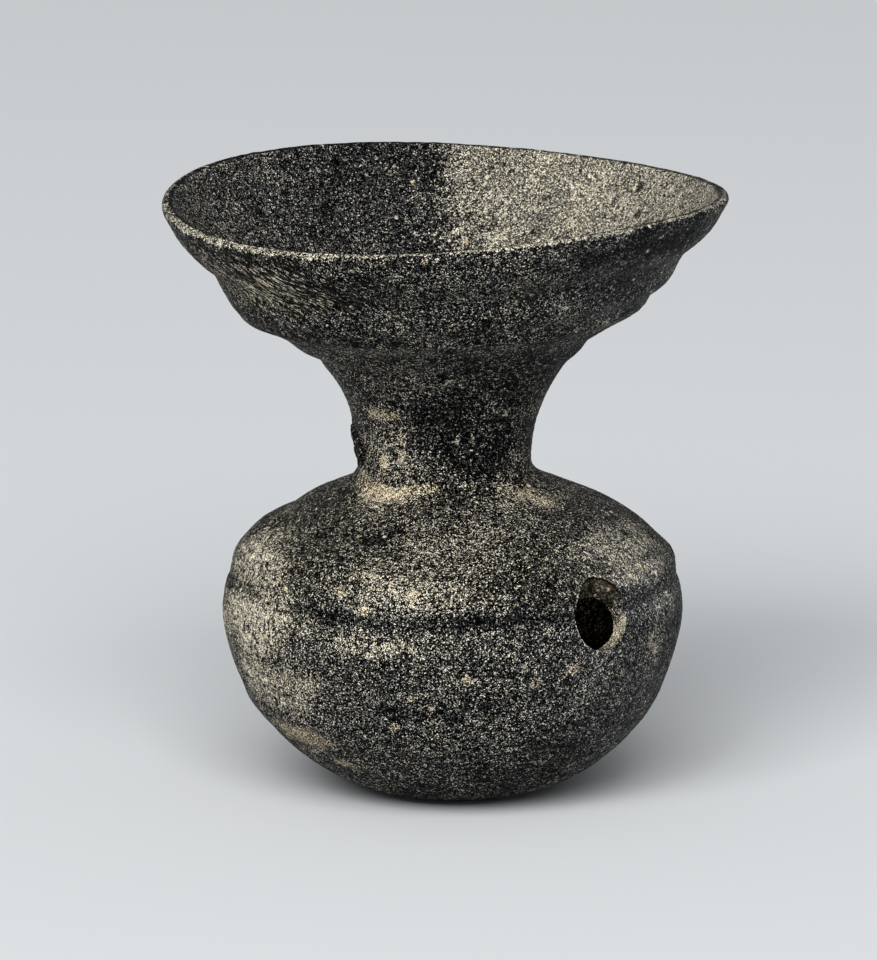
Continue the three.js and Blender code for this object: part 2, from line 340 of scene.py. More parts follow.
def angle(name, description, degrees):
    """A property that is an angle, given here in degrees."""
    return amount(name, description, math.radians(degrees), unit="ROTATION")


def colour(name, description, default):
    """A property that is a linear colour."""
    kind = {"subtype": "COLOR", "min": 0, "max": 1}
    return FloatVectorProperty(name=name, description=description, default=default, **kind)


class JarForm(bpy.types.PropertyGroup):
    """The jar's outline, the same as the solids'."""

    bowl_high: length("Bowl", "Height of the paddled bottom", BASE_HIGH)
    wall_high: length("Lower wall", "Height of the lower wall's top seam", WALL_HIGH)
    widest: length("Widest", "Height of the widest ring", WALL_HIGH + 6 * MM)
    corner: length("Shoulder corner", "Height of the shoulder's corner", WALL_HIGH + 16.4 * MM)
    band_high: length("Belly band", "Height of the belly band's top seam", BAND_HIGH)
    seat: length("Neck seat", "Height of the seat that the neck stands on", SEAT_HIGH)
    waist: length("Waist", "Height of the narrowest ring", SEAT_HIGH + 5.2 * MM)
    throat: length("Throat", "Height of the throat's top seam", SEAT_HIGH + 23.4 * MM)
    mouth_corner: length("Mouth corner", "Height of the mouth's corner", SEAT_HIGH + 40.5 * MM)
    top: length("Lip", "Mean height of the lip", SEAT_HIGH + 66.4 * MM)
    foot_radius: length("Foot radius", "Radius of the standing face", 14 * MM)
    bowl_radius: length("Bowl radius", "Outer radius at the bowl's edge", 44.5 * MM)
    belly_radius: length("Belly radius", "Largest radius of the body", 52.6 * MM)
    corner_radius: length("Corner radius", "Outer radius at the shoulder's corner", 50.85 * MM)
    fillet_radius: length("Fillet radius", "Radius of the luting fillet's foot", 23.6 * MM)
    neck_radius: length("Neck radius", "Outer radius of the waist", 19.7 * MM)
    mouth_corner_radius: length("Mouth corner radius", "Outer radius at the mouth's corner", 45.2 * MM)
    lip_radius: length("Lip radius", "Outer radius of the lip", 65.4 * MM)
    mouth_swell: length("Mouth swell", "How far the mouth's wall sways out of a plain curve", 0.4 * MM)
    floor_wall: length("Floor", "Thickness of the floor", 6.5 * MM)
    belly_wall: length("Belly wall", "Thickness of the body's wall", 4.8 * MM)
    neck_wall: length("Neck wall", "Thickness of the neck's wall", 4.6 * MM)
    mouth_wall: length("Mouth wall", "Thickness of the wall at the mouth's corner", 4.2 * MM)
    lip_wall: length("Lip wall", "Thickness of the lip", 3 * MM)
    lip_rounding: length("Lip rounding", "Height of the lip's rounded edge", 1.2 * MM)
    groove: length("Groove", "Height of the tooled groove", WALL_HIGH + 14 * MM)
    groove_width: length("Groove width", "Width of the tooled groove", 2.4 * MM)
    groove_depth: length("Groove depth", "Depth of the tooled groove", 0.55 * MM)


class JarSpout(bpy.types.PropertyGroup):
    """The spout hole, wide and round outside, lower and narrower inside."""

    height: length("Height", "Height of the hole's middle on the outside", WALL_HIGH + 13.4 * MM)
    half_width: length("Half width", "Half the hole's width on the outside", 7.6 * MM)
    half_height: length("Half height", "Half the hole's height on the outside", 8.3 * MM)
    inner_half_width: length("Inner half width", "Half the hole's width on the inside", 7.2 * MM)
    inner_half_height: length("Inner half height", "Half the hole's height on the inside", 6.1 * MM)
    drop: length("Drop", "How much lower the hole's middle lies on the inside", 3.3 * MM)
    rim_dip: length("Rim dip", "How far the skin rounds over into the hole", 0.12 * MM)


class JarRelief(bpy.types.PropertyGroup):
    """How rough the hand, the wheel and the kiln left the skin, and how finely it is meshed."""

    dents: length("Dents", "Depth of the broad dents", 0.25 * MM)
    waves: length("Waves", "Depth of the finger-wide waves", 0.14 * MM)
    lumps: length("Lumps", "Height of the small lumps", 0.1 * MM)
    grit: length("Grit", "Height of the grit", 0.06 * MM)
    pits: length("Pits", "Depth of the scattered pits", 0.3 * MM)
    ash_crust: length("Ash", "Height of the crusted ash", 0.2 * MM)
    turning: length("Turning marks", "Depth of the fine turning marks", 0.06 * MM)
    turning_pitch: length("Turning pitch", "Distance between the turning marks", 1.7 * MM)
    lip_ripple: length("Lip ripple", "How uneven the lip's edge is", 0.3 * MM)
    columns: IntProperty(name="Columns", description="Grid columns around the jar", default=640, min=48)
    step: length("Row step", "Distance between the rows of the visible skin", 0.55 * MM)
    hidden_step: length("Hidden row step", "Distance between the rows inside the body", 1.4 * MM)


class JarFinish(bpy.types.PropertyGroup):
    """Tints and tone of the fired clay and of the ash on it."""

    clay: colour("Clay", "Tint of the blue-black clay", (0.98, 0.99, 1.0))
    ash: colour("Ash", "Tint of thick ash", (1.0, 0.935, 0.74))
    tan: colour("Tan", "Tint of tan and orange flashes", (1.0, 0.82, 0.55))
    base_tone: amount("Tone", "Tone of the bare clay, as a power of e", -6.3)
    roughness: amount("Roughness", "Roughness of the bare clay", 0.55, min=0, max=1)
    gloss: amount("Gloss", "Strength of the clay's gloss", 0.02, min=0, max=1)


class JarStudio(bpy.types.PropertyGroup):
    """The camera, the floor and the light."""

    distance: length("Distance", "From the camera to the point that it looks at", 3.0)
    lens: amount("Lens", "Focal length in millimetres", 492.5, min=1)
    elevation: angle("Elevation", "How steeply the camera looks down", 12.54)
    aim_side: length("Aim aside", "How far right of the axis the camera looks", -3.23 * MM)
    aim_high: length("Aim height", "How high the camera looks", 71.09 * MM)
    floor_colour: colour("Floor", "Plain pale floor", (0.62, 0.635, 0.645))
    floor_width: length("Floor width", "Side of the square floor", 14.0)
    key_energy: amount("Key light", "Power of the key light in watts", 190, min=0)
    key_size: length("Key size", "Side of the square key light", 2.6)
    key_left: angle("Key aside", "How far left of the camera the key light stands", 30)
    key_elevation: angle("Key elevation", "How high the key light stands", 38)
    front_energy: amount("Front light", "Power of the front light in watts", 290, min=0)
    front_size: length("Front size", "Side of the square front light", 3.6)
    front_right: angle("Front aside", "How far right of the camera the front light stands", 2)
    front_elevation: angle("Front elevation", "How high the front light stands", 42)
    light_distance: length("Light distance", "From the jar to both lights", 6.0)
    sky: amount("Fill", "Strength of the light from all around", 0.36, min=0)
    sky_colour: colour("Fill colour", "Colour of the light from all around", (0.95, 0.975, 1.0))


# The wall's shape


def mix(low, high, part):
    """The value that lies at a part of the way from low to high."""
    return low + (high - low) * part


def share(value, low, high):
    """How far a value lies between low and high, from 0 to 1."""
    return np.clip((value - low) / (high - low), 0, 1)


def ease(part):
    """A part from 0 to 1 with a level start and end: 3 part squared less 2 part cubed."""
    return part * part * (3 - 2 * part)


def outer_radius(form, z):
    """The outer radius at a height: between two rings it runs from one radius to the other along a power
    of the rise, and in the mouth it sways once around that curve."""
    bowl = mix(form.foot_radius, form.bowl_radius, share(z, 0, form.bowl_high) ** BOWL_POWER)
    below = (1 - share(z, form.bowl_high, form.widest)) ** LOWER_WALL_POWER
    band = share(z, form.widest, form.corner) ** BAND_POWER
    dome = share(z, form.corner, form.seat) ** SHOULDER_POWER
    fillet = (1 - share(z, form.seat, form.waist)) ** FILLET_POWER
    rise = share(z, form.waist, form.mouth_corner)
    flare = mix(rise**FLARE_POWER, rise, FLARE_STRAIGHT_SHARE)
    mouth_rise = share(z, form.mouth_corner, form.top)
    mouth = mix(form.mouth_corner_radius, form.lip_radius, mouth_rise**MOUTH_POWER)
    return np.select(
        [
            z <= form.bowl_high,
            z <= form.widest,
            z <= form.corner,
            z <= form.seat,
            z <= form.waist,
            z <= form.mouth_corner,
        ],
        [
            bowl,
            mix(form.belly_radius, form.bowl_radius, below),
            mix(form.belly_radius, form.corner_radius, band),
            mix(form.corner_radius, form.fillet_radius, dome),
            mix(form.neck_radius, form.fillet_radius, fillet),
            mix(form.neck_radius, form.mouth_corner_radius, flare),
        ],
        mouth - form.mouth_swell * np.sin(TURN * mouth_rise),
    )


def wall_thickness(form, z):
    """The wall's thickness at a height of the outer skin, in straight runs between the named rings."""
    body = [(0, form.floor_wall), (form.widest, form.belly_wall), (form.seat, form.belly_wall)]
    above = [(form.waist, form.neck_wall), (form.mouth_corner, form.mouth_wall), (form.top, form.lip_wall)]
    rings, walls = zip(*body, *above)
    return np.interp(z, rings, walls)


def way_along(line):
    """The distance along a line of points, from its start to each point."""
    return np.concatenate([[0], np.cumsum(np.linalg.norm(np.diff(line, axis=0), axis=1))])


def wall_line(form):
    """The wall's cross-section as one line of radius and height: from the middle of the foot up the outer
    skin, over the lip on half an ellipse, and down the inner skin to the middle of the floor. The inner
    skin is the outer one moved square to itself by the wall's thickness, without points that fold back."""
    low = form.bowl_high * np.linspace(0, 1, BOTTOM_SAMPLES) ** 2
    z = np.concatenate([low, np.arange(form.bowl_high, form.top, LINE_STEP)[1:]])
    outer = np.column_stack([outer_radius(form, z), z])
    along = np.gradient(outer, axis=0)
    along /= np.linalg.norm(along, axis=1, keepdims=True)
    inner = outer + wall_thickness(form, z)[:, None] * np.column_stack([-along[:, 1], along[:, 0]])
    highest_so_far = np.concatenate([[0], np.maximum.accumulate(inner[:-1, 1])])
    edge = form.top - form.lip_rounding
    inner = inner[(inner[:, 1] > highest_so_far) & (inner[:, 1] > form.floor_wall) & (inner[:, 1] < edge)]
    outer = outer[outer[:, 1] < edge]
    over = np.linspace(0, 1, LIP_SAMPLES)[1:-1]
    lip_radius = mix(outer[-1, 0], inner[-1, 0], over)
    lip = np.column_stack([lip_radius, edge + form.lip_rounding * np.sqrt(1 - (2 * over - 1) ** 2)])
    floor_line = [[form.foot_radius, form.floor_wall], [0, form.floor_wall]]
    return np.concatenate([[[0, 0]], outer, lip, inner[::-1], floor_line])


def smoothed(values, sigma):
    """A row of values, each replaced by the mean of its neighbours under a bell curve."""
    reach = int(3 * sigma)
    bell = np.exp(-0.5 * (np.arange(-reach, reach + 1) / sigma) ** 2)
    padded = np.pad(values, reach, mode="reflect", reflect_type="odd")
    return np.convolve(padded, bell / bell.sum(), mode="valid")


class Section:
    """The wall's cross-section in even steps, with the normal that points out of the clay."""

    def __init__(self, form):
        line = wall_line(form)
        way = way_along(line)
        self.way = np.arange(0, way[-1], LINE_STEP)
        even = np.column_stack([np.interp(self.way, way, line[:, k]) for k in (0, 1)])
        even = np.column_stack([smoothed(even[:, k], CORNER_EASE / LINE_STEP) for k in (0, 1)])
        self.radius = np.maximum(even[:, 0], 0)
        self.height = np.maximum(even[:, 1], 0)
        along = np.gradient(np.column_stack([self.radius, self.height]), axis=0)
        along /= np.linalg.norm(along, axis=1, keepdims=True)
        self.normal_radius = along[:, 1]
        self.normal_height = -along[:, 0]
        self.lip = int(np.argmax(self.height))
        self.lip_way = self.way[self.lip]
        self.end_way = self.way[-1]

    def outer_way(self, height):
        """The way along the section to a height on the outer skin."""
        return np.interp(height, self.height[: self.lip], self.way[: self.lip])

    def inner_way(self, height):
        """The way along the section to a height on the inner skin."""
        return np.interp(height, self.height[self.lip :][::-1], self.way[self.lip :][::-1])

    def at(self, way):
        """Radius, height and the normal's two parts at each way along the section."""
        parts = (self.radius, self.height, self.normal_radius, self.normal_height)
        return [np.interp(way, self.way, part) for part in parts]


def steps(start, end, step):
    """Ways in even steps of about the given size, both ends included."""
    return np.linspace(start, end, max(2, int(math.ceil(abs(end - start) / step)) + 1))


def settle(points, form):
    """Moves points as the crooked pot settled: the neck off the axis one way and the base the other, the
    mouth leaning by a share of the distance along the lean, and the lip dipping twice around its circle like
    a saddle."""
    x, y, z = points[..., 0], points[..., 1], points[..., 2]
    toward_x, toward_y = math.cos(CROOKED_HEADING), math.sin(CROOKED_HEADING)
    along = x * toward_x + y * toward_y
    across = y * toward_x - x * toward_y
    neck_share = ease(share(z, form.band_high, form.waist))
    offset = NECK_OFFSET * neck_share - BASE_OFFSET * (1 - share(z, 0, BASE_OFFSET_RISE))
    mouth_rise = share(z, form.mouth_corner, form.top)
    lean = mix(MOUTH_CORNER_LEAN * share(z, form.waist, form.mouth_corner), LIP_LEAN, mouth_rise)
    saddle = 2 * along * across / np.maximum(along**2 + across**2, MM * MM)
    dip = LIP_SADDLE * saddle * mouth_rise
    return np.stack([x + offset * toward_x, y + offset * toward_y, z - lean * along - dip], axis=-1)


# Relief of the skin


def lattice_noise(points, cell, seed):
    """Smooth noise about -0.7 to 0.7: every corner of a lattice has a random direction, and a point mixes its
    offsets from the eight corners around it, each measured along that corner's direction."""
    directions = np.random.default_rng(seed).normal(size=(LATTICE_SIZE, LATTICE_SIZE, LATTICE_SIZE, 3))
    directions /= np.linalg.norm(directions, axis=-1, keepdims=True)
    scaled = points / cell
    base = np.floor(scaled).astype(int)
    part = scaled - base
    fade = part**3 * (part * (part * 6 - 15) + 10)
    total = np.zeros(points.shape[:-1])
    for corner in itertools.product((0, 1), repeat=3):
        index = (base + corner) % LATTICE_SIZE
        pull = directions[index[..., 0], index[..., 1], index[..., 2]]
        weight = np.where(np.array(corner) == 1, fade, 1 - fade).prod(axis=-1)
        total += weight * ((part - corner) * pull).sum(axis=-1)
    return total


def ring_relief(height, heading):
    """How far the rings stand out: each is a bell curve over the height, and its height and amount run from
    the left's to the right's by the cosine of the heading."""
    right = (1 + np.cos(heading - RIGHT_SIDE)) / 2
    total = np.zeros(np.broadcast(height, heading).shape)
    for ring in RINGS:
        middle = mix(ring.left_high, ring.right_high, right) * MM
        out = mix(ring.left_out, ring.right_out, right) * MM
        total += out * np.exp(-0.5 * ((height - middle) / (ring.half_width * MM)) ** 2)
    return total


def patch_relief(patches, points, form):
    """How strongly patches cover each point: one at a patch's middle, nothing past its edge."""
    total = np.zeros(points.shape[:-1])
    for patch in patches:
        size = np.array([patch.across, patch.across, patch.up]) * MM
        away = np.linalg.norm((points - surface_point(patch.heading, patch.height, form)) / size, axis=-1)
        total = np.maximum(total, patch.strength * ease(1 - share(away, 0.2, 1)))
    return total


def surface_point(heading_degrees, height_mm, form):
    """The point of the true outer skin at a heading and a height, before the pot settled."""
    heading, height = math.radians(heading_degrees), height_mm * MM
    radius = float(outer_radius(form, np.array(height)))
    return np.array([radius * math.cos(heading), radius * math.sin(heading), height])


def skin_relief(points, way, heading, outside, form, relief):
    """How far the skin stands out of the true section, in metres: broad dents, finger-wide waves, lumps, grit
    and fine turning marks everywhere; rings, the groove, pits and ash crust on the outside."""
    height = points[..., 2]
    total = relief.dents * lattice_noise(points, *DENTS) + relief.waves * lattice_noise(points, *WAVES)
    total += relief.lumps * lattice_noise(points, *LUMPS) + relief.grit * lattice_noise(points, *GRIT)
    wander = lattice_noise(points, *WANDER)
    marks = np.sin(TURN * (way / relief.turning_pitch + 0.9 * wander))
    total += relief.turning * marks * (0.5 + lattice_noise(points, *TURNING_FADE))
    groove_way = (height - form.groove - 0.5 * MM * wander) / (form.groove_width / 2)
    groove = outside * form.groove_depth * np.exp(-(groove_way**2))
    total -= groove * (0.75 + 0.5 * lattice_noise(points, *GROOVE_FADE))
    total += outside * ring_relief(height, heading)
    total -= relief.pits * share(lattice_noise(points, *PITS), 0.33, 0.6)
    ash = patch_relief(ASH_PATCHES, points, form)
    ash_lumps = share(lattice_noise(points, *ASH_LUMPS), -0.1, 0.5)
    total += outside * ash * relief.ash_crust * (0.4 + 1.6 * ash_lumps)
    above_foot = ease(share(height, 0.2 * MM, 4 * MM))
    return total * np.where(outside > 0, above_foot, 1)


def skin_points(way, heading, section, form, relief, dip=0):
    """The settled skin at each way along the section and each heading around the jar: the section turned
    around the axis, moved along its normal by the relief, its lip rippled, and settled."""
    radius, height, normal_radius, normal_height = section.at(way)
    turned = np.stack([np.cos(heading), np.sin(heading), np.zeros_like(heading)], axis=-1)
    up = np.array([0.0, 0.0, 1.0])
    points = radius[..., None] * turned + height[..., None] * up
    normal = normal_radius[..., None] * turned + normal_height[..., None] * up
    outside = (way < section.lip_way).astype(float)
    out = skin_relief(points, way, heading, outside, form, relief) - dip
    near_lip = np.exp(-(((way - section.lip_way) / LIP_RIPPLE_REACH) ** 2))
    around = turned * form.lip_radius
    ripple = 0.7 * lattice_noise(around, *LIP_WAVES) + 0.5 * lattice_noise(around, *LIP_CRUMBS)
    points = points + out[..., None] * normal + (relief.lip_ripple * near_lip * ripple)[..., None] * up
    points = settle(points, form)
    points[..., 2] = np.maximum(points[..., 2], 0)
    return points


# Meshes


def make_mesh(name, points, faces, inward, sharp_rows=(), columns=1, bore=None):
    """A smooth mesh from points and faces. Its attribute inward is the way past the lip in millimetres, and
    bore, where given, the way into the spout hole's bore. Edges along the sharp rows of its grid, and along
    the bore's outer edge, split the shading."""
    mesh = bpy.data.meshes.new(name)
    mesh.vertices.add(len(points))
    mesh.vertices.foreach_set("co", np.ascontiguousarray(points, np.float32).ravel())
    corners = np.concatenate([f.ravel() for f in faces])
    sizes = np.concatenate([np.full(len(f), f.shape[1]) for f in faces])
    mesh.loops.add(len(corners))
    mesh.loops.foreach_set("vertex_index", corners.astype(np.int32))
    mesh.polygons.add(len(sizes))
    mesh.polygons.foreach_set("loop_start", np.concatenate([[0], np.cumsum(sizes)[:-1]]).astype(np.int32))
    mesh.update(calc_edges=True)
    mesh.polygons.foreach_set("use_smooth", np.ones(len(sizes), bool))
    set_attribute(mesh, "inward", inward)
    ends = np.zeros(2 * len(mesh.edges), np.int32)
    mesh.edges.foreach_get("vertices", ends)
    ends = ends.reshape(-1, 2)
    row = ends // columns
    sharp = (row[:, 0] == row[:, 1]) & np.isin(row[:, 0], sharp_rows)
    if bore is not None:
        set_attribute(mesh, "bore", bore)
        sharp |= (np.asarray(bore)[ends] == BORE_EDGE).all(axis=1)
    mesh.edges.foreach_set("use_edge_sharp", sharp)
    if mesh.validate():
        raise RuntimeError(f"the mesh of {name} was not sound")
    return mesh


def set_attribute(mesh, name, values):
    """Gives each point of a mesh a value that its material can read."""
    attribute = mesh.attributes.new(name, "FLOAT", "POINT")
    attribute.data.foreach_set("value", np.asarray(values, np.float32).ravel())


def grid_faces(rows, columns, closed):
    """Quads of a grid that closes around its columns and, where asked, from its last row to its first."""
    i, j = np.meshgrid(np.arange(rows if closed else rows - 1), np.arange(columns), indexing="ij")
    i, j = i.ravel(), j.ravel()
    low, high, beside = i * columns, (i + 1) % rows * columns, (j + 1) % columns
    return np.column_stack([low + j, low + beside, high + beside, high + j])


def fan(pole, first, columns, flipped=False):
    """Triangles from a pole to each edge of the row of points that starts at a number."""
    around = np.arange(columns)
    edges = [first + around, first + (around + 1) % columns]
    return np.column_stack([np.full(columns, pole), *(reversed(edges) if flipped else edges)])


def put(name, slot, *shape):
    """Makes a mesh of a shape and shows it as the piece that stands for the solid of the same name."""
    mesh = make_mesh(name, *shape)
    piece = bpy.data.objects.new(name + "_skin", mesh)
    bpy.context.scene.collection.objects.link(piece)
    mesh.materials.append(finish_of(slot))
    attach(piece, "root")
    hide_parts(name)


class Maker:
    """What every piece of the jar is made from: the section and the user's values."""

    def __init__(self, context):
        scene = context.scene
        self.form, self.relief, self.spout = scene.jar_form, scene.jar_relief, scene.jar_spout
        self.section = Section(self.form)
        self.headings = TURN * np.arange(self.relief.columns) / self.relief.columns

    def points(self, way):
        """Points of the skin on a grid of ways by headings."""
        way, heading = np.broadcast_arrays(np.asarray(way)[:, None], self.headings)
        return skin_points(way, heading, self.section, self.form, self.relief)

    def inward(self, way):
        """The way past the lip in millimetres, for a grid of ways by headings."""
        return np.repeat((way - self.section.lip_way) / MM, self.relief.columns)

    def skin(self, way):
        """A run of rows on the skin, as its points and ways."""
        return self.points(way), way

    def cylinder(self, radius, heights, way):
        """Rows of a settled cylinder, each a circle around the axis at its height. It has no relief, because
        it stays hidden, and all of it lies at one way."""
        height, heading = np.broadcast_arrays(np.asarray(heights)[:, None], self.headings)
        points = np.stack([radius * np.cos(heading), radius * np.sin(heading), height], axis=-1)
        return settle(points, self.form), np.full(len(heights), way)

    def wall(self, name, slot, *runs):
        """A piece of wall: runs of rows that follow each other once around its cross-section. The shading is
        split at the ends of each run."""
        points, ways = zip(*runs)
        ends = np.cumsum([len(way) for way in ways])
        seams = [0, *ends[:-1], *(ends - 1)]
        columns = self.relief.columns
        faces = [grid_faces(ends[-1], columns, True)]
        points = np.concatenate(points).reshape(-1, 3)
        put(name, slot, points, faces, self.inward(np.concatenate(ways)), seams, columns)

    def ring(self, name, slot, low, high, inner_step=None):
        """A ring of wall between two seams: the outer skin up, the inner skin down, closed at both seams."""
        section, step = self.section, self.relief.step
        outer = steps(section.outer_way(low), section.outer_way(high), step)
        inner = steps(section.inner_way(high), section.inner_way(low), inner_step or step)
        self.wall(name, slot, self.skin(outer), self.skin(inner))


# The shader


class Value:
    """A shader socket that takes part in Python expressions: each operator adds its Math node."""

    def __init__(self, tree, socket):
        self.tree, self.socket = tree, socket

    def _math(self, operation, *others, clamp=False):
        """What a Math node makes of its inputs."""
        node = self.tree.add("ShaderNodeMath", {"operation": operation, "use_clamp": clamp}, others)
        return Value(self.tree, node.outputs[0])

    def __add__(self, other):
        return self._math("ADD", self, other)

    def __sub__(self, other):
        return self._math("SUBTRACT", self, other)

    def __mul__(self, other):
        return self._math("MULTIPLY", self, other)

    def __truediv__(self, other):
        return self._math("DIVIDE", self, other)

    def __lt__(self, other):
        return self._math("LESS_THAN", self, other)

    def __rsub__(self, other):
        return self._math("SUBTRACT", other, self)

    __radd__ = __add__
    __rmul__ = __mul__

    def clamped(self):
        """The value kept between 0 and 1."""
        return self._math("ADD", self, 0.0, clamp=True)

    def at_least(self, other):
        """The larger of two values."""
        return self._math("MAXIMUM", self, other)

    def at_most(self, other):
        """The smaller of two values."""
        return self._math("MINIMUM", self, other)

    def smooth(self, low, high, start=0.0, end=1.0):
        """An eased step from start to end while the value goes from low to high."""
        inputs = (self, low, high, start, end)
        node = self.tree.add("ShaderNodeMapRange", {"interpolation_type": "SMOOTHSTEP"}, inputs)
        return Value(self.tree, node.outputs[0])


class Tree:
    """The node tree of one material."""

    def __init__(self, name):
        self.material = bpy.data.materials.new(name)
        self.material.use_nodes = True
        self.tree = self.material.node_tree
        self.shader = self.tree.nodes["Principled BSDF"]

    def link(self, socket, value):
        """Gives an input socket a value, or links it to an output."""
        value = value.socket if isinstance(value, Value) else value
        if isinstance(value, bpy.types.NodeSocket):
            self.tree.links.new(value, socket)
        else:
            socket.default_value = value

    def add(self, kind, settings=None, inputs=()):
        """A node of a kind, with its settings made first and then its sockets, by order or by name."""
        node = self.tree.nodes.new(kind)
        for key, value in (settings or {}).items():
            setattr(node, key, value)
        named = inputs.items() if isinstance(inputs, dict) else enumerate(inputs)
        for key, value in named:
            self.link(node.inputs[key], value)
        return node

    def vector(self, operation, *inputs):
        """A Vector Math node's vector."""
        return self.add("ShaderNodeVectorMath", {"operation": operation}, inputs).outputs["Vector"]

    def measure(self, operation, *inputs):
        """A Vector Math node's single value, such as a length."""
        node = self.add("ShaderNodeVectorMath", {"operation": operation}, inputs)
        return Value(self, node.outputs["Value"])

    def scaled(self, vector, factor):
        """A vector or a colour times a value."""
        node = self.add("ShaderNodeVectorMath", {"operation": "SCALE"}, {0: vector, "Scale": factor})
        return node.outputs["Vector"]

    def parts(self, vector):
        """The three parts of a vector or a colour."""
        node = self.add("ShaderNodeSeparateXYZ", None, (vector,))
        return [Value(self, output) for output in node.outputs]

    def millimetres(self):
        """The point in the jar's own frame, in millimetres."""
        return self.scaled(self.add("ShaderNodeTexCoord").outputs["Object"], 1 / MM)

    def attribute(self, name):
        """A value that the mesh holds for each of its points."""
        return Value(self, self.add("ShaderNodeAttribute", {"attribute_name": name}).outputs["Fac"])

    def stretched(self, point, way, cut):
        """A point whose part along a unit vector is cut by a share, so that a pattern on it is drawn out."""
        return self.vector("SUBTRACT", point, self.scaled(way, self.measure("DOT_PRODUCT", point, way) * cut))

    def wobbled(self, point, size):
        """A point moved at random by about a size in millimetres, so that round shapes on it turn ragged."""
        inputs = {"Vector": point, "Scale": 1 / size, "Detail": 1.0}
        noise = self.add("ShaderNodeTexNoise", None, inputs).outputs["Color"]
        return self.vector("MULTIPLY_ADD", noise, (size, size, size), point)

    def noise(self, point, size, detail=2.0, roughness=0.55):
        """Noise with a mean of a half and features of about a size in millimetres."""
        inputs = {"Vector": point, "Scale": 1 / size, "Detail": detail, "Roughness": roughness}
        return Value(self, self.add("ShaderNodeTexNoise", None, inputs).outputs["Fac"])

    def power(self, base, exponent):
        """A number to the power of a value."""
        return Value(self, self.add("ShaderNodeMath", {"operation": "POWER"}, (base, exponent)).outputs[0])

    def random_grains(self, point, size):
        """Two random values for each grain of about a size in millimetres, one from -0.5 to 0.5 and one from
        0 to 1."""
        node = self.add("ShaderNodeTexVoronoi", None, {"Vector": point, "Scale": 1 / size})
        height, tint, _ = self.parts(node.outputs["Color"])
        return height - 0.5, tint

    def blend(self, factor, first, second):
        """A colour that goes from the first to the second by a factor."""
        node = self.add("ShaderNodeMix", {"data_type": "RGBA"}, {0: factor})
        for key, colour_value in ((6, first), (7, second)):
            if not isinstance(colour_value, bpy.types.NodeSocket):
                colour_value = (*colour_value, 1.0)
            self.link(node.inputs[key], colour_value)
        return node.outputs[2]

    def specks(self, point, speck, amount):
        """Ragged round specks on a random lattice: the cover of each point, full in the middle of its speck,
        and the speck's random value. The amount is the share of the lattice's cells that hold a speck."""
        node = self.add("ShaderNodeTexVoronoi", None, {"Vector": point, "Scale": 1 / speck.cell})
        size, chance, tint = self.parts(node.outputs["Color"])
        edge = (size * 0.6 + 0.4) * (speck.radius / speck.cell) - Value(self, node.outputs["Distance"])
        cover = (edge * (1.7 * speck.cell / speck.radius)).clamped() * (chance < amount)
        return cover, tint

    def cover(self, patches, point, ragged, form, core=0.25):
        """How strongly patches cover a point: full in a patch's core, none past its ragged edge."""
        total = None
        for patch in patches:
            middle = settle(surface_point(patch.heading, patch.height, form), form) / MM
            scale = np.array([1 / patch.across, 1 / patch.across, 1 / patch.up])
            offset = self.vector("MULTIPLY_ADD", point, tuple(scale), tuple(-middle * scale))
            away = self.measure("LENGTH", offset) + ragged
            one = away.smooth(1.0, core, 0.0, patch.strength)
            total = one if total is None else total.at_least(one)
        return total

    def dress(self, tint, light, roughness, gloss, height, bump_high):
        """Gives the surface its colour, roughness and gloss, and a bump by a height. Returns the material."""
        bump = self.add("ShaderNodeBump", None, {"Strength": 1.0, "Distance": bump_high, "Height": height})
        self.link(self.shader.inputs["Base Color"], self.scaled(tint, light))
        self.link(self.shader.inputs["Roughness"], roughness)
        self.link(self.shader.inputs["Specular IOR Level"], gloss)
        self.link(self.shader.inputs["Normal"], bump.outputs["Normal"])
        return self.material


def lip_marks(z, right, front, inward, mottle, cloud, sand):
    """The pale line along the lip's outer edge, and the shade on its top."""
    lip = z.smooth(*LIP_ZONE)
    pale_lip = front.smooth(4.0, 22.0) * (right.smooth(45.0, 5.0) * 0.6 + 0.4) + mottle * 2.0 + sand * 0.8
    outer_edge = inward + right.smooth(-12.0, -45.0) * 0.9 + cloud * 2.0 + mottle * 1.2
    line = lip * outer_edge.smooth(-1.7, -1.2) * inward.smooth(0.1, -0.3) * pale_lip.clamped()
    return line, lip * inward.smooth(-0.5, 0.0) * inward.smooth(1.1, 0.6)


def groove_shade_and_ridge_highlight(z, cloud, form):
    """Painted shade in the tooled groove, and a painted highlight on the ridge below it."""
    way = z - form.groove / MM + cloud * 2
    return way.smooth(-1.9, -0.8) - way.smooth(0.8, 1.9), way.smooth(-3.8, -2.9) - way.smooth(-2.4, -1.7)


BoreMarks = namedtuple("BoreMarks", "inside ceiling ledge near_wall edge_line edge_shade")


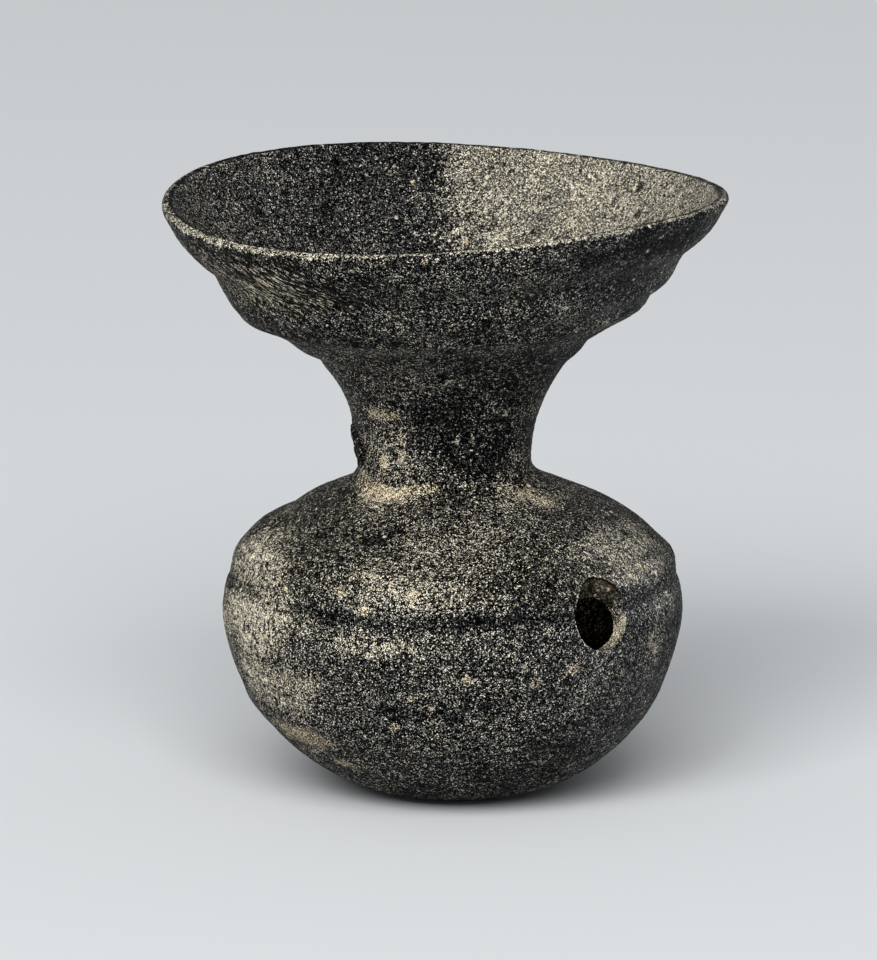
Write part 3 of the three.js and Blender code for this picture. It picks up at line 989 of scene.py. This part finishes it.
def bore_marks(x, z, bore, spout):
    """Where a point lies in the spout hole: in its bore at all, on the ceiling, on the ledge low on its +X
    side, on the wall of that side, on the worn pale line around its edge that carries a painted highlight,
    and in the painted shade under its upper edge."""
    inside = bore.smooth(BORE_EDGE, BORE_EDGE + 0.05)
    into = (bore - BORE_EDGE).clamped()
    above_middle = z - spout.height / MM
    half_width = into * ((spout.inner_half_width - spout.half_width) / MM) + spout.half_width / MM
    half_height = into * ((spout.inner_half_height - spout.half_height) / MM) + spout.half_height / MM
    aside = x / half_width
    above = (above_middle + into * (spout.drop / MM)) / half_height
    return BoreMarks(
        inside=inside,
        ceiling=above.smooth(0.3, 0.65) * inside,
        ledge=(aside * 0.79 - above * 0.61).smooth(0.8, 0.92) * inside,
        near_wall=aside.smooth(0.6, 0.95) * above.smooth(0.7, 0.2) * inside,
        # A worn pale edge with a painted highlight, strongest on the left and at the top, towards the key
        # light
        edge_line=(bore.smooth(0.3, 0.9) - inside) * aside.smooth(0.75, 0.35),
        edge_shade=above_middle.smooth(2.0, 5.0) * (inside - bore.smooth(1.08, 1.16)),
    )


def stoneware(name):
    """Unglazed stoneware. The tone is worked out in powers of e: a base, plus what ash, blobs and painted
    highlights add, less what dark blotches, painted shade and pits take, plus a random share for each grain.
    Painted shade lies in the groove, inside the mouth, under the mouth and low on the bowl. Painted
    highlights lie on the shoulder, beside the spout hole, on the ridge and on the hole's worn edge. There is
    painted light on the far wall inside the mouth, and the right side has a painted cool grazing reflection.
    The tint goes from blue-black clay over grey to cream ash, and to tan where the fire flashed."""
    scene = bpy.context.scene
    form, finish, spout = scene.jar_form, scene.jar_finish, scene.jar_spout
    tree = Tree(name)
    point = tree.millimetres()
    inward, bore = tree.attribute("inward"), tree.attribute("bore")
    inside = inward.smooth(-0.4, 0.4)
    outside = 1 - inside
    x, y, z = tree.parts(point)
    right = x * math.cos(RIGHT_SIDE) + y * math.sin(RIGHT_SIDE)
    front = x * math.cos(VIEWING_SIDE) + y * math.sin(VIEWING_SIDE)
    in_mouth = inside * z.smooth(*MOUTH_ZONE)
    in_body = inside * z.smooth(*BODY_ZONE)

    # Grains and noise, all but the tints around 0

    sand, sand_tint = tree.random_grains(point, SAND_SIZE)
    grit, _ = tree.random_grains(point, GRIT_SIZE)
    fine = tree.noise(point, FINE_SIZE, 2.0, 0.6) - 0.5
    mottle = tree.noise(point, MOTTLE_SIZE, 2.0, 0.6) - 0.5
    cloud = tree.noise(point, CLOUD_SIZE, 3.0) - 0.5
    broad = tree.noise(point, BROAD_SIZE, 2.0) - 0.5
    bands = tree.noise(tree.vector("MULTIPLY", point, (1.0, 1.0, 5.0)), BANDS_SIZE, 2.0) - 0.5
    wiping_point = tree.stretched(point, WIPING_WAY, 0.85)
    wiped = tree.noise(wiping_point, WIPED_SIZE, 2.0) - 0.5
    drawn_sand, drawn_tint = tree.random_grains(wiping_point, DRAWN_SAND_SIZE)
    ragged = cloud * 1.5 + mottle * 1.3
    ragged_point = tree.wobbled(point, RAGGED_SIZE)

    # Patches and zones, by the photograph

    ash = tree.cover(ASH_PATCHES, point, ragged, form) * outside
    tan = tree.cover(TAN_PATCHES, point, ragged * 0.8, form, 0.5) * outside
    # Dark blotches, and painted shade under the mouth, on the mouth's outside and low on the bowl
    dark = tree.cover(BLOTCH_AND_SHADE_PATCHES, point, ragged, form) * outside
    # Painted highlights where the lamps' reflection lies on the shoulder and beside the spout hole
    painted_sheen = tree.cover(PAINTED_SHEEN_PATCHES, point, ragged, form) * outside
    streaks = tree.cover(WIPED_PATCHES, point, ragged, form) * outside
    # Pale ash on the far right wall inside the mouth, made paler still as painted light where the lamps fall
    # on that wall
    pale = (right + cloud * 24 + grit * 10 + (z - 125) * 0.12).smooth(-6.0, 7.0) * in_mouth
    # Painted grazing reflection: on the side turned to the right the grain calms to an even, cooler grey, and
    # the groove's painted shade fades
    plain = right.smooth(12.0, 42.0) * outside
    dome = z.smooth(*DOME_ZONE) * z.smooth(*BELOW_NECK_ZONE) * outside
    lip_line, lip_shade = lip_marks(z, right, front, inward, mottle, cloud, sand)
    # Painted shade in the groove, and a painted highlight on the ridge below it
    groove, ridge = [mark * outside for mark in groove_shade_and_ridge_highlight(z, cloud, form)]
    hole = bore_marks(x, z, bore, spout)

    # Specks, blobs and pits, more of them where the surface is lively

    lively = ash * 0.4 + painted_sheen * 0.4 + pale * 0.35 + dome * 0.14 + 0.08
    small, small_tint = tree.specks(ragged_point, SMALL_SPECKS, lively)
    middling, middling_tint = tree.specks(ragged_point, MIDDLING_SPECKS, lively * 0.8)
    flakes, flakes_tint = tree.specks(ragged_point, FLAKES, ash.smooth(0.2, 0.8) * 0.8)
    blobs, blobs_tint = tree.specks(ragged_point, BLOBS, pale * 0.5 + 0.3)
    small_pits, _ = tree.specks(ragged_point, SMALL_PITS, 0.25)
    large_pits, _ = tree.specks(ragged_point, LARGE_PITS, 0.3)
    flecks, _ = tree.specks(ragged_point, DARK_FLECKS, 0.3)
    pits = small_pits.at_least(large_pits)
    solid = small.at_least(middling).at_least(flakes * 0.9) * 0.9

    # Tone: where the surface is calm, an even tone takes the place of the grains; on the right side that
    # calm, cooler grey is a painted grazing reflection

    calm = pale * 0.33 + in_mouth * 0.22 + painted_sheen * plain * 0.15 + plain * 0.4 + tan * 0.25
    calm = (calm + hole.ceiling * 0.3 + hole.ledge * 0.2).clamped()
    sand = sand + (drawn_sand - sand) * streaks * 0.8
    grain = sand * 12.0 + grit * 3.5 + mottle * (4.0 + ash * 6.0) + wiped * streaks * 9.0
    tone = grain * (1 - calm) + calm * (5.4 - calm * 2.9) + cloud * 2.0 + broad * 1.4 + bands * 1.6 * outside
    # Painted highlights and the painted light inside the mouth lighten; painted shade and dark blotches
    # darken
    tone = tone + ash * 3.45 + tan * 2.4 + painted_sheen * 1.6 - dark * 1.4 - pits * 2.4 - flecks * 1.6 + pale * 2.35
    tone = tone + blobs * 2.2 + streaks * 0.65 + in_body * 0.4 - dome * 0.2
    # Painted shade inside the mouth over its dark clay, lifted a little on its far left
    tone = tone + in_mouth * (right.smooth(-20.0, -55.0) * 0.6 - 0.5)
    # Painted shade in the groove, weaker on the right side, and a painted highlight on the ridge below it
    tone = tone + lip_line * 3.0 - lip_shade * 1.8 - groove * (1.0 - plain * 0.8) + ridge * 0.35
    tone = tone + ash * (mottle.smooth(-0.1, 0.12) * 2.4 - 1.15)
    tone = tone - hole.ceiling * 0.25 + hole.near_wall * 0.9 + hole.ledge * 1.7
    # The hole's worn edge carries a painted highlight, and painted shade lies under its upper edge
    tone = tone + hole.edge_line * 1.8 - hole.edge_shade * 2.0 + finish.base_tone
    tone = tone + (mottle * 6.0 + sand * 2.0 - 0.45 - tone) * solid
    light = tree.power(math.e, tone).at_most(CLAY_LIGHTEST)

    # Tint: from clay to ash, and then to tan

    warm = ash.at_least(pale * 0.8) * 0.9 + dome * 0.5 + lip_line + hole.ledge + light * 1.3
    # Cooler on the right side, for its painted grazing reflection
    warm = warm + (sand_tint - 0.5) * 0.7 + streaks * 0.3 + mottle * 0.4 - plain * 0.35 + solid * 0.5
    tint = tree.blend(warm.clamped(), finish.clay, finish.ash)
    tan_part = tan * 0.8 + middling * middling_tint.smooth(0.6, 0.9)
    tan_part = tan_part + blobs * blobs_tint.smooth(0.5, 0.8) * 0.8
    tan_part = tan_part + small * small_tint.smooth(0.7, 0.9) * 0.8
    tan_part = tan_part + flakes * flakes_tint.smooth(0.5, 1.0) * 0.3
    tan_part = tan_part + drawn_tint.smooth(0.6, 0.95) * streaks * 0.9
    tan_part = tan_part + sand_tint.smooth(0.86, 0.97) * light * 2 + in_body * 0.8
    tan_part = tan_part + hole.inside * 0.35 + hole.ceiling * 0.5
    tint = tree.blend(tan_part.clamped(), tint, finish.tan)

    height = fine * 4.5 + grit * 0.5 + mottle * 2.0 + wiped * streaks * 3.0
    height = height + solid * 0.7 + blobs * 0.6 - pits * 0.9
    roughness = (finish.roughness + ash * 0.2 + sand * 0.3).clamped()
    return tree.dress(tint, light, roughness, finish.gloss, height, CLAY_BUMP)


def crusted(name):
    """Fused ash: a black crust with golden crumbs on the neck, and a grey and cream one on the shoulder."""
    finish = bpy.context.scene.jar_finish
    tree = Tree(name)
    point = tree.millimetres()
    _, _, z = tree.parts(point)
    low = z.smooth(*SHOULDER_CRUST_ZONE)
    crumbs = tree.noise(point, CRUMBS_SIZE, 3.0, 0.65) - 0.5
    sand, _ = tree.random_grains(point, CRUST_SAND_SIZE)
    grit, _ = tree.random_grains(point, GRIT_SIZE)
    tone = crumbs * 6 + sand * 8 + grit * 5 + low * 1.2 + finish.base_tone
    light = tree.power(math.e, tone).at_most(CRUST_LIGHTEST)
    tint = tree.blend((light * 3 + low * 0.4).clamped(), finish.clay, finish.ash)
    return tree.dress(tint, light, CRUST_ROUGHNESS, finish.gloss, crumbs + grit * 0.3, CRUST_BUMP)


def finish_of(slot):
    """The material of a slot, made the first time that a piece asks for it."""
    found = bpy.data.materials.get(slot + "_finish")
    if found:
        return found
    return crusted(slot + "_finish") if slot == "kiln_crust" else stoneware(slot + "_finish")


# Operators, one for each piece or group of like pieces


class JAR_OT_base_bowl(bpy.types.Operator):
    """Make the paddled round bottom, closed by its floor"""

    bl_idname = "jar.base_bowl"
    bl_label = "Base bowl"

    def execute(self, context):
        maker = Maker(context)
        form, section, relief = maker.form, maker.section, maker.relief
        foot = steps(0, form.foot_radius, relief.hidden_step)[1:-1]
        outer = steps(form.foot_radius, section.outer_way(form.bowl_high), relief.step)
        inner = steps(section.inner_way(form.bowl_high), section.end_way, relief.hidden_step)[:-1]
        way = np.concatenate([foot, outer, inner])
        columns = relief.columns
        points = maker.points(way).reshape(-1, 3)
        pole, last_row = len(points), len(points) - columns
        points = np.concatenate([points, settle(np.array([[0, 0, 0], [0, 0, form.floor_wall]]), form)])
        under, over = fan(pole, 0, columns, True), fan(pole + 1, last_row, columns)
        ends = [-section.lip_way / MM, (section.end_way - section.lip_way) / MM]
        inward = np.concatenate([maker.inward(way), ends])
        seams = [len(foot) + len(outer) - 1, len(foot) + len(outer)]
        faces = [grid_faces(len(way), columns, False), under, over]
        put("base_bowl", "stoneware_base", points, faces, inward, seams, columns)
        return {"FINISHED"}


class JAR_OT_lower_wall(bpy.types.Operator):
    """Make the coil wall between the bottom and the belly band"""

    bl_idname = "jar.lower_wall"
    bl_label = "Lower wall"

    def execute(self, context):
        maker = Maker(context)
        form = maker.form
        maker.ring("lower_wall", "stoneware_body", form.bowl_high, form.wall_high, maker.relief.hidden_step)
        return {"FINISHED"}


class JAR_OT_belly_band(bpy.types.Operator):
    """Make the widest band of the belly, with its groove and the spout hole through it"""

    bl_idname = "jar.belly_band"
    bl_label = "Belly band and spout hole"

    def execute(self, context):
        maker = Maker(context)
        columns = maker.relief.columns
        heights, low_row, high_row = band_rows(maker)
        rows = len(heights)
        heading_step = TURN / columns
        half_block = round(maker.spout.half_width / (maker.form.belly_radius * heading_step))
        block = half_block * heading_step
        outer_points = band_skin(maker, heights, block, False)
        inner_points = band_skin(maker, heights, block, True)[::-1]
        points = np.concatenate([outer_points, inner_points]).reshape(-1, 3)

        middle = round(columns * (SPOUT_HEADING % TURN) / TURN)
        left, right = middle - half_block, middle + half_block
        faces = grid_faces(2 * rows, columns, True)
        row, column = faces[:, 0] // columns, faces[:, 0] % columns
        level = np.where(row < rows, row, 2 * rows - 2 - row)
        in_block = (level >= low_row) & (level < high_row) & (column >= left) & (column < right)
        faces = faces[~in_block]

        loop_rows, loop_columns = block_edge(low_row, high_row, left, right)
        outer_loop = loop_rows * columns + loop_columns
        inner_loop = (2 * rows - 1 - loop_rows) * columns + loop_columns
        bore, loops = bore_grid(points, outer_loop, inner_loop)
        following = np.roll(loops, -1, axis=1)
        walls = np.stack([loops[:-1], following[:-1], following[1:], loops[1:]], axis=-1).reshape(-1, 4)
        outer_inward = (maker.section.outer_way(heights) - maker.section.lip_way) / MM
        inner_inward = (maker.section.inner_way(heights[::-1]) - maker.section.lip_way) / MM
        inward = np.repeat(np.concatenate([outer_inward, inner_inward]), columns)
        inward = np.concatenate([inward, np.full(len(bore), -BORE_DEEP)])
        points = np.concatenate([points, bore])
        into_bore = np.zeros(len(points))
        into_bore[loops] = BORE_EDGE + BORE_STEPS[:, None]
        seams = [0, rows - 1, rows, 2 * rows - 1]
        put("belly_band", "stoneware_body", points, [faces, walls], inward, seams, columns, into_bore)
        return {"FINISHED"}


def band_rows(maker):
    """Heights of the band's rows, and which of them run along the bottom and the top of the spout hole."""
    form, spout, step = maker.form, maker.spout, maker.relief.step
    low, high = spout.height - spout.half_height, spout.height + spout.half_height
    levels = (form.wall_high, low, high, form.band_high)
    below, across, above = [steps(start, end, step) for start, end in itertools.pairwise(levels)]
    heights = np.concatenate([below, across[1:], above[1:]])
    return heights, len(below) - 1, len(below) + len(across) - 2


def band_skin(maker, heights, block, inside):
    """One skin of the band, with its grid drawn around the spout hole: a square block of cells becomes the
    hole's outline, and the cells around it give way evenly out to the block's reach."""
    section, spout = maker.section, maker.spout
    height, heading = np.broadcast_arrays(heights[:, None], maker.headings)
    aside = (heading - SPOUT_HEADING + TURN / 2) % TURN - TURN / 2
    u, v = aside / block, (height - spout.height) / spout.half_height
    square = np.maximum(np.maximum(np.abs(u), np.abs(v)), NEXT_TO_NOTHING)
    outline = square / np.maximum(np.hypot(u, v), NEXT_TO_NOTHING)
    radius = section.at(section.inner_way(spout.height) if inside else section.outer_way(spout.height))[0]
    half_width = spout.inner_half_width if inside else spout.half_width
    half_height = spout.inner_half_height if inside else spout.half_height
    drop = spout.drop if inside else 0
    egg = 1 - EGG_SHARE * v * outline
    new_u = u * outline * egg * half_width / (radius * block)
    new_v = (v * outline * half_height - drop) / spout.half_height
    settled_back = ease(share(square, 1, BLOCK_REACH))
    aside = mix(new_u, u, settled_back) * block
    height = mix(new_v, v, settled_back) * spout.half_height + spout.height
    way = section.inner_way(height) if inside else section.outer_way(height)
    dip = spout.rim_dip * (1 - share(square, 1, RIM_DIP_REACH)) ** 2
    return skin_points(way, SPOUT_HEADING + aside, section, maker.form, maker.relief, dip)


def block_edge(low, high, left, right):
    """Rows and columns once around a block of cells, counter-clockwise seen from outside."""
    up, across = np.arange(low, high), np.arange(left, right)
    rows = [np.full(len(across), low), up, np.full(len(across), high), up[::-1] + 1]
    columns = [across, np.full(len(up), right), across[::-1] + 1, np.full(len(up), left)]
    return np.concatenate(rows), np.concatenate(columns)


def bore_grid(points, outer_loop, inner_loop):
    """Rings of new points from the hole's outer outline to its inner one, roughened between them, and the
    numbers of the points of all rings, both outlines included."""
    part = BORE_STEPS[1:-1, None, None]
    bore = mix(points[outer_loop][None], points[inner_loop][None], part)
    middle = points[outer_loop].mean(axis=0)
    axis = points[inner_loop].mean(axis=0) - middle
    from_axis = bore - middle
    from_axis -= axis * ((from_axis @ axis) / (axis @ axis))[..., None]
    from_axis /= np.linalg.norm(from_axis, axis=-1, keepdims=True)
    rough = BORE_LUMP_HIGH * lattice_noise(bore, *BORE_LUMPS)
    rough += BORE_GRIT_HIGH * lattice_noise(bore, *BORE_GRIT)
    weight = np.sin(math.pi * BORE_STEPS[1:-1]) ** 0.5
    bore = bore + from_axis * (rough * weight[:, None])[..., None]
    count = bore.shape[1]
    new = len(points) + np.arange(bore.shape[0] * count).reshape(-1, count)
    return bore.reshape(-1, 3), np.concatenate([[outer_loop], new, [inner_loop]])


class JAR_OT_shoulder(bpy.types.Operator):
    """Make the dome that closes the body up to the neck's seat"""

    bl_idname = "jar.shoulder"
    bl_label = "Shoulder"

    def execute(self, context):
        maker = Maker(context)
        form = maker.form
        maker.ring("shoulder", "stoneware_shoulder", form.band_high, form.seat, maker.relief.hidden_step)
        return {"FINISHED"}


class JAR_OT_luting_coil(bpy.types.Operator):
    """Make the clay fillet that is pressed round the foot of the neck"""

    bl_idname = "jar.luting_coil"
    bl_label = "Neck luting coil"

    def execute(self, context):
        maker = Maker(context)
        form, section = maker.form, maker.section
        top = form.waist - FILLET_EDGE
        outer = steps(section.outer_way(form.seat), section.outer_way(top), maker.relief.step)
        bore = maker.cylinder(form.neck_radius - COIL_BORE_DEEP, [top, form.seat], outer[0])
        maker.wall("neck_luting_coil", "luting_clay", maker.skin(outer), bore)
        return {"FINISHED"}


class JAR_OT_neck(bpy.types.Operator):
    """Make the narrow throat, with its foot inside the luting coil"""

    bl_idname = "jar.neck"
    bl_label = "Neck"

    def execute(self, context):
        maker = Maker(context)
        form, section = maker.form, maker.section
        top = form.waist - FILLET_EDGE
        outer = steps(section.outer_way(top), section.outer_way(form.throat), maker.relief.step)
        inner = steps(section.inner_way(form.throat), section.inner_way(form.seat), maker.relief.step)
        heights = [form.seat, top - HIDDEN_FOOT_DEEP]
        foot = maker.cylinder(form.neck_radius - HIDDEN_FOOT_DEEP, heights, outer[0])
        maker.wall("neck", "stoneware_neck", foot, maker.skin(outer), maker.skin(inner))
        return {"FINISHED"}


class JAR_OT_mouth_flare(bpy.types.Operator):
    """Make the trumpet that opens from the throat to the mouth's corner"""

    bl_idname = "jar.mouth_flare"
    bl_label = "Mouth flare"

    def execute(self, context):
        maker = Maker(context)
        maker.ring("mouth_flare", "stoneware_neck", maker.form.throat, maker.form.mouth_corner)
        return {"FINISHED"}


class JAR_OT_mouth_bowl(bpy.types.Operator):
    """Make the tall flared mouth with its uneven lip"""

    bl_idname = "jar.mouth_bowl"
    bl_label = "Mouth bowl"

    def execute(self, context):
        maker = Maker(context)
        section, corner = maker.section, maker.form.mouth_corner
        way = steps(section.outer_way(corner), section.inner_way(corner), maker.relief.step)
        maker.wall("mouth_bowl", "stoneware_mouth", maker.skin(way))
        return {"FINISHED"}


def crust_points(crust, form):
    """A craggy lump on the wall: a ball flattened against the wall, its points pushed in and out by noise of
    two sizes, half sunk in the skin and settled with it."""
    heading, height = math.radians(crust.heading), crust.height * MM
    low, high = height - SLOPE_REACH, height + SLOPE_REACH
    slope = float(outer_radius(form, np.array(high)) - outer_radius(form, np.array(low))) / (high - low)
    turned = np.array([math.cos(heading), math.sin(heading), 0.0])
    up = turned * slope + np.array([0.0, 0.0, 1.0])
    up /= np.linalg.norm(up)
    side = np.cross(up, turned)
    side /= np.linalg.norm(side)
    out = np.cross(side, up)
    polar = math.pi * (np.arange(CRUST_ROWS) + 1) / (CRUST_ROWS + 1)
    around = TURN * np.arange(CRUST_COLUMNS) / CRUST_COLUMNS
    polar, around = np.meshgrid(polar, around, indexing="ij")
    ball = [np.sin(polar) * np.cos(around), np.sin(polar) * np.sin(around), np.cos(polar)]
    ball = np.concatenate([np.stack(ball, axis=-1).reshape(-1, 3), [[0, 0, 1], [0, 0, -1]]])
    crags = CRAG_HIGH * lattice_noise(ball, CRAG_CELL, crust.seed)
    crumbs = CRUMB_HIGH * lattice_noise(ball, CRUMB_CELL, crust.seed + CRUMB_SEED_STEP)
    ball = ball * (1 + crags + crumbs)[:, None]
    depth = np.where(ball[:, 2] > 0, crust.proud, CRUST_ROOT) * MM
    local = (ball[:, :1] * side * crust.half_width + ball[:, 1:2] * up * crust.half_height) * MM
    points = surface_point(crust.heading, crust.height, form) + local + ball[:, 2:3] * depth[:, None] * out
    away = points[:, :2] / np.linalg.norm(points[:, :2], axis=1, keepdims=True)
    heading = np.arctan2(points[:, 1], points[:, 0])
    wall = outer_radius(form, points[:, 2]) + ring_relief(points[:, 2], heading) - CRUST_SUNK
    points[:, :2] = away * (wall + ball[:, 2] * depth)[:, None]
    return settle(points, form)


class JAR_OT_kiln_crusts(bpy.types.Operator):
    """Make the lumps of fused ash on the neck and on the shoulder"""

    bl_idname = "jar.kiln_crusts"
    bl_label = "Kiln crusts"

    def execute(self, context):
        form = context.scene.jar_form
        pole = CRUST_ROWS * CRUST_COLUMNS
        quads = grid_faces(CRUST_ROWS, CRUST_COLUMNS, False)[:, ::-1]
        over = fan(pole, 0, CRUST_COLUMNS)
        under = fan(pole + 1, pole - CRUST_COLUMNS, CRUST_COLUMNS, True)
        for crust in CRUSTS:
            points = crust_points(crust, form)
            inward = np.full(len(points), ON_THE_OUTSIDE)
            put(crust.name, "kiln_crust", points, [quads, over, under], inward)
        return {"FINISHED"}


class JAR_OT_studio(bpy.types.Operator):
    """Set up the camera, the plain pale floor and the soft light"""

    bl_idname = "jar.studio"
    bl_label = "Studio"

    def execute(self, context):
        studio = context.scene.jar_studio
        aim_camera(context.scene, studio)
        lay_floor(context.scene, studio)
        key_way = direction(VIEWING_SIDE - studio.key_left, studio.key_elevation)
        front_way = direction(VIEWING_SIDE + studio.front_right, studio.front_elevation)
        for name, energy, size, way in (
            ("key_light", studio.key_energy, studio.key_size, key_way),
            ("front_light", studio.front_energy, studio.front_size, front_way),
        ):
            hang_light(context.scene, name, energy, size, way * studio.light_distance)
        fill_with_light(context.scene, studio)
        context.scene.view_settings.view_transform = "Standard"
        return {"FINISHED"}


def direction(heading, elevation):
    """The unit vector at a heading and an elevation."""
    level = math.cos(elevation)
    return Vector((math.cos(heading) * level, math.sin(heading) * level, math.sin(elevation)))


def aim_camera(scene, studio):
    """A long lens far from the jar, on its viewing side, a little above it."""
    camera = bpy.data.cameras.new("camera")
    camera.lens = studio.lens
    camera.clip_end = CAMERA_REACH
    aim = direction(RIGHT_SIDE, 0) * studio.aim_side + Vector((0, 0, studio.aim_high))
    holder = bpy.data.objects.new("camera", camera)
    back = direction(VIEWING_SIDE, studio.elevation)
    holder.location = aim + back * studio.distance
    holder.rotation_euler = (-back).to_track_quat("-Z", "Y").to_euler()
    scene.collection.objects.link(holder)
    scene.camera = holder


def lay_floor(scene, studio):
    """A square floor under the jar, in the plane of the standing face."""
    half = studio.floor_width / 2
    corners = [(-half, -half, 0), (half, -half, 0), (half, half, 0), (-half, half, 0)]
    mesh = bpy.data.meshes.new("studio_floor")
    mesh.from_pydata(corners, [], [(0, 1, 2, 3)])
    tree = Tree("studio_floor")
    tree.shader.inputs["Base Color"].default_value = (*studio.floor_colour, 1.0)
    tree.shader.inputs["Roughness"].default_value = FLOOR_ROUGHNESS
    tree.shader.inputs["Specular IOR Level"].default_value = FLOOR_GLOSS
    mesh.materials.append(tree.material)
    floor = bpy.data.objects.new("studio_floor", mesh)
    scene.collection.objects.link(floor)


def hang_light(scene, name, energy, size, place):
    """A large square soft light at a place, turned to face the jar."""
    light = bpy.data.lights.new(name, "AREA")
    light.energy = energy
    light.shape = "SQUARE"
    light.size = size
    holder = bpy.data.objects.new(name, light)
    holder.location = place
    holder.rotation_euler = (-place).to_track_quat("-Z", "Y").to_euler()
    scene.collection.objects.link(holder)


def fill_with_light(scene, studio):
    """An even pale surrounding."""
    world = bpy.data.worlds.new("pale_surrounding")
    world.use_nodes = True
    background = world.node_tree.nodes["Background"]
    background.inputs["Color"].default_value = (*studio.sky_colour, 1.0)
    background.inputs["Strength"].default_value = studio.sky
    scene.world = world


PIECE_OPERATORS = (
    JAR_OT_base_bowl,
    JAR_OT_lower_wall,
    JAR_OT_belly_band,
    JAR_OT_shoulder,
    JAR_OT_luting_coil,
    JAR_OT_neck,
    JAR_OT_mouth_flare,
    JAR_OT_mouth_bowl,
    JAR_OT_kiln_crusts,
)
VALUE_GROUPS = {
    "jar_form": JarForm,
    "jar_spout": JarSpout,
    "jar_relief": JarRelief,
    "jar_finish": JarFinish,
    "jar_studio": JarStudio,
}


class JAR_PT_panel(bpy.types.Panel):
    """The jar's values and the buttons that make its pieces"""

    bl_idname = "JAR_PT_panel"
    bl_label = "Stoneware jar"
    bl_space_type = "VIEW_3D"
    bl_region_type = "UI"
    bl_category = "Jar"

    def draw(self, context):
        for operator in (*PIECE_OPERATORS, JAR_OT_studio):
            self.layout.operator(operator.bl_idname)
        for group, kind in VALUE_GROUPS.items():
            box = self.layout.box()
            box.label(text=kind.__doc__.split(",")[0].rstrip("."))
            for name in kind.__annotations__:
                box.prop(getattr(context.scene, group), name)


CLASSES = (*VALUE_GROUPS.values(), *PIECE_OPERATORS, JAR_OT_studio, JAR_PT_panel)


def register():
    """Registers the classes and gives the scene their values."""
    for kind in CLASSES:
        bpy.utils.register_class(kind)
    for name, kind in VALUE_GROUPS.items():
        setattr(bpy.types.Scene, name, PointerProperty(type=kind))


def unregister():
    """Takes the values and the classes away again."""
    for name in VALUE_GROUPS:
        delattr(bpy.types.Scene, name)
    for kind in reversed(CLASSES):
        bpy.utils.unregister_class(kind)


def main():
    """Makes the studio and every piece."""
    register()
    bpy.ops.jar.studio()
    bpy.ops.jar.base_bowl()
    bpy.ops.jar.lower_wall()
    bpy.ops.jar.belly_band()
    bpy.ops.jar.shoulder()
    bpy.ops.jar.luting_coil()
    bpy.ops.jar.neck()
    bpy.ops.jar.mouth_flare()
    bpy.ops.jar.mouth_bowl()
    bpy.ops.jar.kiln_crusts()


if __name__ == "__main__":
    main()
